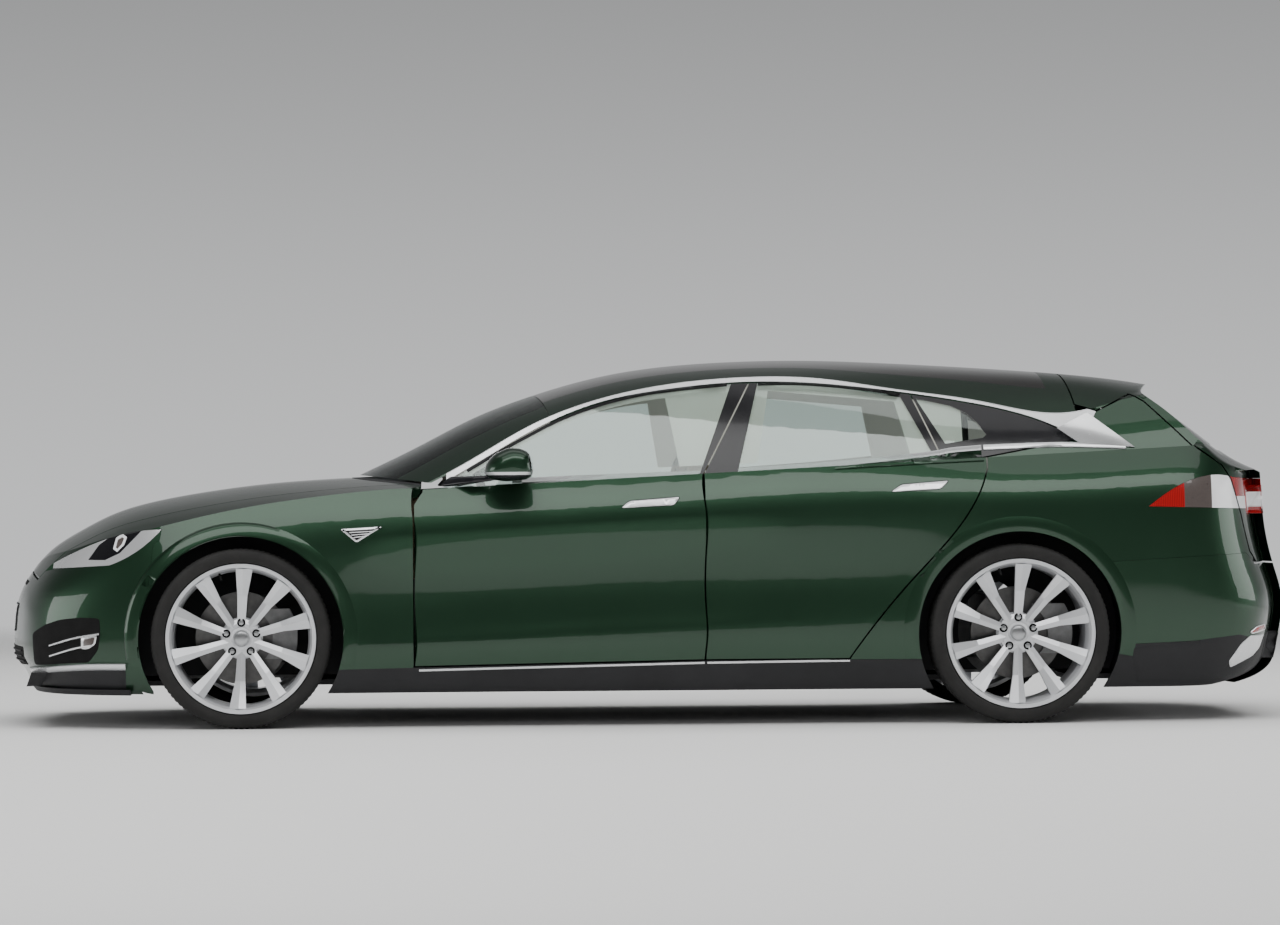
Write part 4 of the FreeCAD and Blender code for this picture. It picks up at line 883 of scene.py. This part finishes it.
def grilleSlat(index, height):
    places = range(-nose["slatHalf"], nose["slatHalf"] + 1, nose["slatStep"])
    verts = [layOn(skin, "x", 1, (y, height + rise), lift)
             for y in places for lift, rise in ((0.5, -3), (6, -1.5), (6, 1.5), (0.5, 3))]
    starts = [4 * i + a for i in range(len(places) - 1) for a in range(3)]
    faces = [(k, k + 1, k + 5, k + 4) for k in starts]
    addPiece("grilleSlat%d" % index, verts, faces, blackPlastic, "body")


plate("lowerGrille", rounded(nose["lowerGrille"], 20), deepBlack, "body", way="x", lift=1.5, step=22)
for index, height in enumerate(nose["slats"]):
    grilleSlat(index, height)
plate("noseSlot", rounded(nose["noseSlot"], 8), deepBlack, "body", way="x", lift=1.0, edge=1.0)
plate("plateCarrier", rounded(nose["carrier"], 12), blackPlastic, "body", way="x", lift=5.0, edge=4.0,
      sink=2.0)
plate("frontPlate", rounded(nose["plate"], 8), lampWhite, "body", way="x", lift=7.0, edge=1.0, sink=-3.0)

# tail: dark lower corners with reflectors, and on the tailgate its lamps, bright bar and blank plate
tail = {
    "reflector": [(2300, 336), (2332, 358), (2374, 366), (2384, 342), (2312, 328)],
    "valance": [(1855, 150), (1826, 280), (1937, 292), (2056, 306), (2153, 317), (2256, 328), (2300, 318),
                (2210, 215), (2180, 150)],
    "silver": [(2300, 322), (2378, 326), (2354, 272), (2318, 242), (2222, 200), (2214, 226), (2262, 292)],
    "lamp": [(360, 900), (690, 900), (700, 790), (360, 790)],
    "bar": [(-350, 878), (350, 878), (350, 850), (-350, 850)],
    "carrier": [(-270, 800), (270, 800), (270, 680), (-270, 680)],
    "plate": [(-258, 794), (258, 794), (258, 686), (-258, 686)],
    "lower": [(-640, 330), (0, 345), (640, 330), (600, 230), (0, 215), (-600, 230)],
}
for label, side in sides.items():
    reflector = rounded(tail["reflector"], 6)
    plate(label + "Valance", rounded(tail["valance"], 12), blackPlastic, "body", side, lift=1.0, edge=1.0,
          step=24)
    plate(label + "DiffuserEnd", rounded(tail["silver"], 8), satinTrim, "body", side, lift=3.0, edge=2.5)
    plate(label + "ReflectorRim", reflector, brightTrim, "body", side, lift=3.6, edge=1.5)
    plate(label + "Reflector", inward(reflector, 5), lampRed, "body", side, lift=4.6, edge=1.0)
    gateLamp = rounded([(side * y, z) for y, z in tail["lamp"]], 14)
    plate(label + "GateLamp", gateLamp, lampRed, "tailgate_body", way="-x", lift=2.0, edge=2.0)
    plate(label + "GateLampClear", inward(gateLamp, 26), lampWhite, "tailgate_body", way="-x", lift=3.4)
plate("gateBar", rounded(tail["bar"], 8), brightTrim, "tailgate_body", way="-x", lift=5.0, edge=4.0)
plate("rearPlateCarrier", rounded(tail["carrier"], 12), blackPlastic, "tailgate_body", way="-x", lift=3.0,
      edge=3.0)
plate("rearPlate", rounded(tail["plate"], 8), lampWhite, "tailgate_body", way="-x", lift=5.0, edge=1.0,
      sink=-2.0)
plate("rearValance", rounded(tail["lower"], 18), blackPlastic, "body", way="-x", lift=2.0, edge=2.0, step=26)
print("nose and tail dressed")

# wheels: sections are (outwards along the axle, radius)
wheel = {"middle": {"front": 831, "rear": 850}, "faceOut": 34, "nuts": 5, "nutRing": 60,
         "nutSeat": [(-1, 16), (3.6, 16), (4.2, 14), (4.2, 0.5)],
         "nut": [(-1, 10.5), (11, 10.5), (14, 9), (15, 6), (15.2, 0.5)],
         "cap": [(-1, 31), (2, 31), (4, 29.5), (4, 26), (3, 25), (5.5, 20), (7, 10), (7.4, 0.5)],
         "hubRing": [(-1, 46), (1.5, 45), (2.4, 42), (1.8, 38), (0.4, 36)],
         "valve": [(-14, 4), (0, 4), (1, 5), (16, 5), (18, 3.6), (18.4, 0.5)],
         "valveAngle": 108, "valveRadius": 248, "valveOut": 98, "valveLean": 0.7,
         "tread": {"front": 245, "rear": 265}, "grooves": (-0.31, -0.11, 0.11, 0.31),
         "segments": 300, "blockPitch": 3, "blockCut": 2.6}


def wheelFace(label, place, side, body):
    out = (0, side, 0)
    middle = Vector((axle[place], side * (wheel["middle"][place] + wheel["faceOut"]), axle["height"])) * mm
    for k in range(wheel["nuts"]):
        angle = 2 * math.pi * k / wheel["nuts"] + math.radians(90)
        at = middle + Vector((math.cos(angle), 0, math.sin(angle))) * wheel["nutRing"] * mm
        turned("%s%sNutSeat%d" % (label, place, k), wheel["nutSeat"], at, deepBlack, body, out, 24)
        turned("%s%sNut%d" % (label, place, k), wheel["nut"], at, capMetal, body, out, 6, sharp=30)
    turned("%s%sCap" % (label, place), wheel["cap"], middle, capMetal, body, out, 48)
    turned("%s%sHubRing" % (label, place), wheel["hubRing"], middle, wheelSilver, body, out, 48)


def valveStem(label, place, side, body):
    angle, lean = math.radians(wheel["valveAngle"]), wheel["valveLean"]
    foot = Vector((axle[place] + math.cos(angle) * wheel["valveRadius"],
                   side * (wheel["middle"][place] + wheel["valveOut"]),
                   axle["height"] + math.sin(angle) * wheel["valveRadius"])) * mm
    way = (-math.cos(angle) * lean, side * lean, -math.sin(angle) * lean)
    turned("%s%sValve" % (label, place), wheel["valve"], foot, deepBlack, body, way, 12)


# a crowned tread with grooves between two shaped walls, and cut blocks along its edges
def tyre(label, place, side, body):
    half = wheel["tread"][place] / 2
    wall = [(-half + 13, 286), (-half + 5, 290), (-half + 3, 297), (-half + 0.5, 304), (-half, 312),
            (-half + 1, 320), (-half + 4, 327), (-half + 7, 331.5), (-half + 13, 335.5), (-half + 20, 338.3)]
    tread = half - 24
    crown = []
    for share in wheel["grooves"]:
        at = share * 2 * tread * 1.12
        crown += [(at - 8, 341.2), (at - 5, 333.6), (at + 5, 333.6), (at + 8, 341.2), (at + 20, 341.6)]
    crown = [point for point in crown if abs(point[0]) < tread] + [(tread, 339.6)]
    outer = wall + crown + [(-along, radius) for along, radius in reversed(wall)]
    inner = [(half - 20, 300), (0, 322), (-half + 20, 300)]
    edges = {k for k, (along, radius) in enumerate(outer) if radius > 337 and abs(along) > 20}

    def blocks(k, s):
        return -wheel["blockCut"] if k in edges and s % wheel["blockPitch"] == 0 else 0

    centre = Vector((axle[place], side * wheel["middle"][place], axle["height"])) * mm
    turned("%s%sTyre" % (label, place), outer + inner, centre, tyreRubber, body, (0, side, 0),
           wheel["segments"], sharp=28, wave=blocks, closed=True, replaces=("%s_%s_tyre" % (place, label),),
           slotName="tyre")


for label, side in sides.items():
    for place in ("front", "rear"):
        body = "%s_%s_wheel_body" % (place, label)
        wheelFace(label, place, side, body)
        valveStem(label, place, side, body)
        tyre(label, place, side, body)
print("wheels dressed")

# seats: the plain solids remeshed, pressed out by cloth and made finer, with piping; lengths in metres
seat = {"round": 0.022, "voxel": 0.016, "inset": 0.004, "frames": 20, "cap": 0.012, "pressure": 4.0,
        "fill": 0.85, "seamWidth": 0.004, "seamGap": 0.06, "frontMiddle": 0.37, "frontHalf": 0.13,
        "fluting": 0.09, "rearSeams": (-0.52, -0.24, 0.24, 0.52)}


def evaluated(piece):
    graph = bpy.context.evaluated_depsgraph_get()
    return bpy.data.meshes.new_from_object(piece.evaluated_get(graph))


def settle(piece):
    piece.data = evaluated(piece)
    piece.modifiers.clear()


# presses the cover out by cloth, each place by no more than the cap
def swell(piece):
    before = [v.co.copy() for v in piece.data.vertices]
    cloth = piece.modifiers.new("cloth", "CLOTH")
    cloth.settings.use_pressure = True
    cloth.settings.uniform_pressure_force = seat["pressure"]
    cloth.settings.effector_weights.gravity = 0
    cloth.settings.quality = 3
    cloth.collision_settings.use_collision = False
    cloth.point_cache.frame_start, cloth.point_cache.frame_end = 1, seat["frames"]
    for step in range(1, seat["frames"] + 1):
        bpy.context.scene.frame_set(step)
        bpy.context.view_layer.update()
    swollen = evaluated(piece)
    after = [v.co.copy() for v in swollen.vertices]
    piece.modifiers.clear()
    bpy.context.scene.frame_set(1)
    bpy.data.meshes.remove(swollen)
    for v, old, new in zip(piece.data.vertices, before, after):
        way = new - old
        v.co = old + (way.normalized() * min(way.length, seat["cap"]) if way.length > 1e-7 else way)


def upholster(name):
    mesh = nodes[name].data.copy()
    turnOutwards(mesh, weld=2e-6)
    piece = newPiece(name + "Leather", mesh)
    bevel = piece.modifiers.new("round", "BEVEL")
    bevel.width, bevel.segments = seat["round"], 3
    bevel.limit_method, bevel.angle_limit = "ANGLE", math.radians(30)
    remesh = piece.modifiers.new("remesh", "REMESH")
    remesh.mode, remesh.voxel_size, remesh.use_smooth_shade = "VOXEL", seat["voxel"], True
    ease = piece.modifiers.new("ease", "SMOOTH")
    ease.factor, ease.iterations = 0.5, 4
    settle(piece)
    piece.data.update()
    normals = [v.normal.copy() for v in piece.data.vertices]
    for v, normal in zip(piece.data.vertices, normals):
        v.co -= normal * seat["inset"]
    swell(piece)
    finer = piece.modifiers.new("finer", "SUBSURF")
    finer.levels = finer.render_levels = 1
    settle(piece)
    smooth(piece.data)
    dress(piece, seatLeather)
    standFor(piece, name)
    return piece


# piping on a seat: each row is a list of points and the way along which they are sent onto the leather
def piping(piece, name, rows):
    tree = treeFrom(piece.data)
    verts, faces = [], []
    width = seat["seamWidth"]
    for points, way in rows:
        hits = [tree.ray_cast(Vector(point), Vector(way))[:2] for point in points]
        path = [(hit, normal) for hit, normal in hits if hit is not None]
        for (here, up), (there, nextUp) in zip(path, path[1:]):
            if (there - here).length > seat["seamGap"]:
                continue
            along = (there - here).normalized()
            across = along.cross(up).normalized() * width
            base = len(verts)
            for at, normal in ((here, up), (there, nextUp)):
                verts.extend([at - across - normal * 0.001, at - across * 0.5 + normal * width * 0.7,
                              at + across * 0.5 + normal * width * 0.7, at + across - normal * 0.001])
            faces += [(base + i, base + i + 1, base + i + 5, base + i + 4) for i in range(3)]
    if verts:
        addPiece(name, verts, faces, glossBlack, "body", 60)


def straight(start, end, count):
    start, end = Vector(start), Vector(end)
    return [start.lerp(end, k / count) for k in range(count + 1)]


frontSeat = upholster("front_seats")
rearSeat = upholster("rear_seat")
rearwardWay, downWay = (1, 0, 0), (0, 0, -1)
frontRows = []
for middle in (-seat["frontMiddle"], seat["frontMiddle"]):
    left, right = middle - seat["frontHalf"], middle + seat["frontHalf"]
    for y in (left, right):
        frontRows.append((straight((-0.9, y, 0.50), (-0.9, y, 0.98), 40), rearwardWay))
        frontRows.append((straight((-0.40, y, 1.6), (0.02, y, 1.6), 30), downWay))
    for k in range(4):
        height = 0.60 + seat["fluting"] * k
        frontRows.append((straight((-0.9, left, height), (-0.9, right, height), 16), rearwardWay))
piping(frontSeat, "frontSeatPiping", frontRows)
rearRows = [(straight((0.2, y, 0.50), (0.2, y, 0.98), 40), rearwardWay) for y in seat["rearSeams"]]
rearRows += [(straight((0.60, y, 1.6), (1.00, y, 1.6), 30), downWay) for y in seat["rearSeams"]]
piping(rearSeat, "rearSeatPiping", rearRows)
print("seats upholstered")

# camera, a little ahead of the car's middle and slightly turned; lengths in metres, angles in degrees
view = {"lens": 148.33125, "sensor": 36, "target": (-0.002, 0.0), "distance": 20.954, "height": 0.934,
        "yaw": 2.7, "rollRadians": 0.0061, "shiftY": 0.013671875}
yaw, roll = math.radians(view["yaw"]), view["rollRadians"]
forward = Vector((math.sin(yaw), math.cos(yaw), 0))
level = Vector((math.cos(yaw), -math.sin(yaw), 0))
upright = Vector((0, 0, 1))
rightAxis = level * math.cos(roll) - upright * math.sin(roll)
upAxis = upright * math.cos(roll) + level * math.sin(roll)
spot = Vector((*view["target"], view["height"])) - forward * view["distance"]
cameraData = bpy.data.cameras.new("mainCamera")
cameraData.lens, cameraData.sensor_width, cameraData.shift_y = view["lens"], view["sensor"], view["shiftY"]
cameraData.clip_end = 200
camera = bpy.data.objects.new("mainCamera", cameraData)
camera.matrix_world = Matrix.Translation(spot) @ Matrix((rightAxis, upAxis, -forward)).transposed().to_4x4()
bpy.context.collection.objects.link(camera)
bpy.context.scene.camera = camera

# studio: a pale floor that fades out, and a sky that is brightest behind the car's horizon
stage = {"floorHalf": 60.0, "floorColour": (0.66, 0.66, 0.66), "fadeFrom": 6.0, "fadeTo": 15.0,
         "skyColour": (0.98, 0.99, 1.0), "sky": 0.74, "dim": 0.12, "above": 0.45, "zenith": 0.25}
floorMesh = bpy.data.meshes.new("studioFloor")
floorHalf = stage["floorHalf"]
floorMesh.from_pydata([(-floorHalf, -floorHalf, 0), (floorHalf, -floorHalf, 0), (floorHalf, floorHalf, 0),
                       (-floorHalf, floorHalf, 0)], [], [(0, 1, 2, 3)])
floor = newPiece("studioFloor", floorMesh)
floorFinish = Finish("studioFloor", Specular_IOR_Level=0.15)
floorX, floorY, floorZ = floorFinish.axes()
reach = floorX * floorX + floorY * floorY
floorTone = floorFinish.mixColour(floorFinish.noise(0.6), stage["floorColour"], (0.66, 0.66, 0.65))
floorFinish.set(Base_Color=floorTone, Roughness=0.75 + 0.1 * floorFinish.noise(3.0),
                Alpha=reach.ramp(stage["fadeFrom"] ** 2, stage["fadeTo"] ** 2, 1.0, 0.0))
dress(floor, floorFinish)

world = bpy.data.worlds.new("studioSky")
bpy.context.scene.world = world
world.use_nodes = True
sky = Wiring(world.node_tree)
skyX, skyY, skyZ = sky.axes(sky.add("ShaderNodeTexCoord"))
behind = skyY.ramp(-0.4, 0.7, stage["dim"], 1.0)
rising = skyZ.ramp(-0.02, 0.12, 1.0, stage["above"])
overhead = skyZ.ramp(0.14, 0.5, 1.0, stage["zenith"])
background = sky.tree.nodes["Background"]
sky.feed(background.inputs["Color"], stage["skyColour"])
sky.feed(background.inputs["Strength"], behind * rising * overhead * stage["sky"])

# lamps: where each stands, what it faces, its size and power, and whether it shows in reflections
lights = {
    "overheadSoftbox": ((0, 1, 11), (0, 1, 0), (18, 14), 1700, False),
    "sideSoftbox": ((0, -7.0, 7.6), (0, 0, 0.7), (14, 3.2), 520, True),
    "archSoftbox": ((0, -2.6, 9.4), (0, 0, 1.2), (14, 4), 240, True),
    "roofGlow": ((0, 3.4, 8.6), (0, 0, 1.2), (14, 4), 130, True),
    "fillSoftbox": ((-2, -11, 3.0), (0, 0, 0.5), (11, 3), 420, False),
    "noseSoftbox": ((-9.5, -1.2, 1.9), (-2.2, -0.6, 0.6), (5.0, 2.8), 150, True),
    "tailSoftbox": ((9.5, -1.2, 1.9), (2.3, -0.7, 0.6), (5.0, 2.8), 150, True),
    "backSoftbox": ((2, 7, 5), (0, 0, 0.8), (9, 2), 160, False),
}
for name, (stand, aim, size, power, mirrored) in lights.items():
    light = bpy.data.lights.new(name, "AREA")
    light.shape = "RECTANGLE"
    light.size, light.size_y, light.energy = *size, power
    softbox = bpy.data.objects.new(name, light)
    softbox.location = stand
    softbox.rotation_euler = (Vector(aim) - Vector(stand)).to_track_quat("-Z", "Y").to_euler()
    softbox.visible_glossy = mirrored
    bpy.context.collection.objects.link(softbox)

print("scene done")
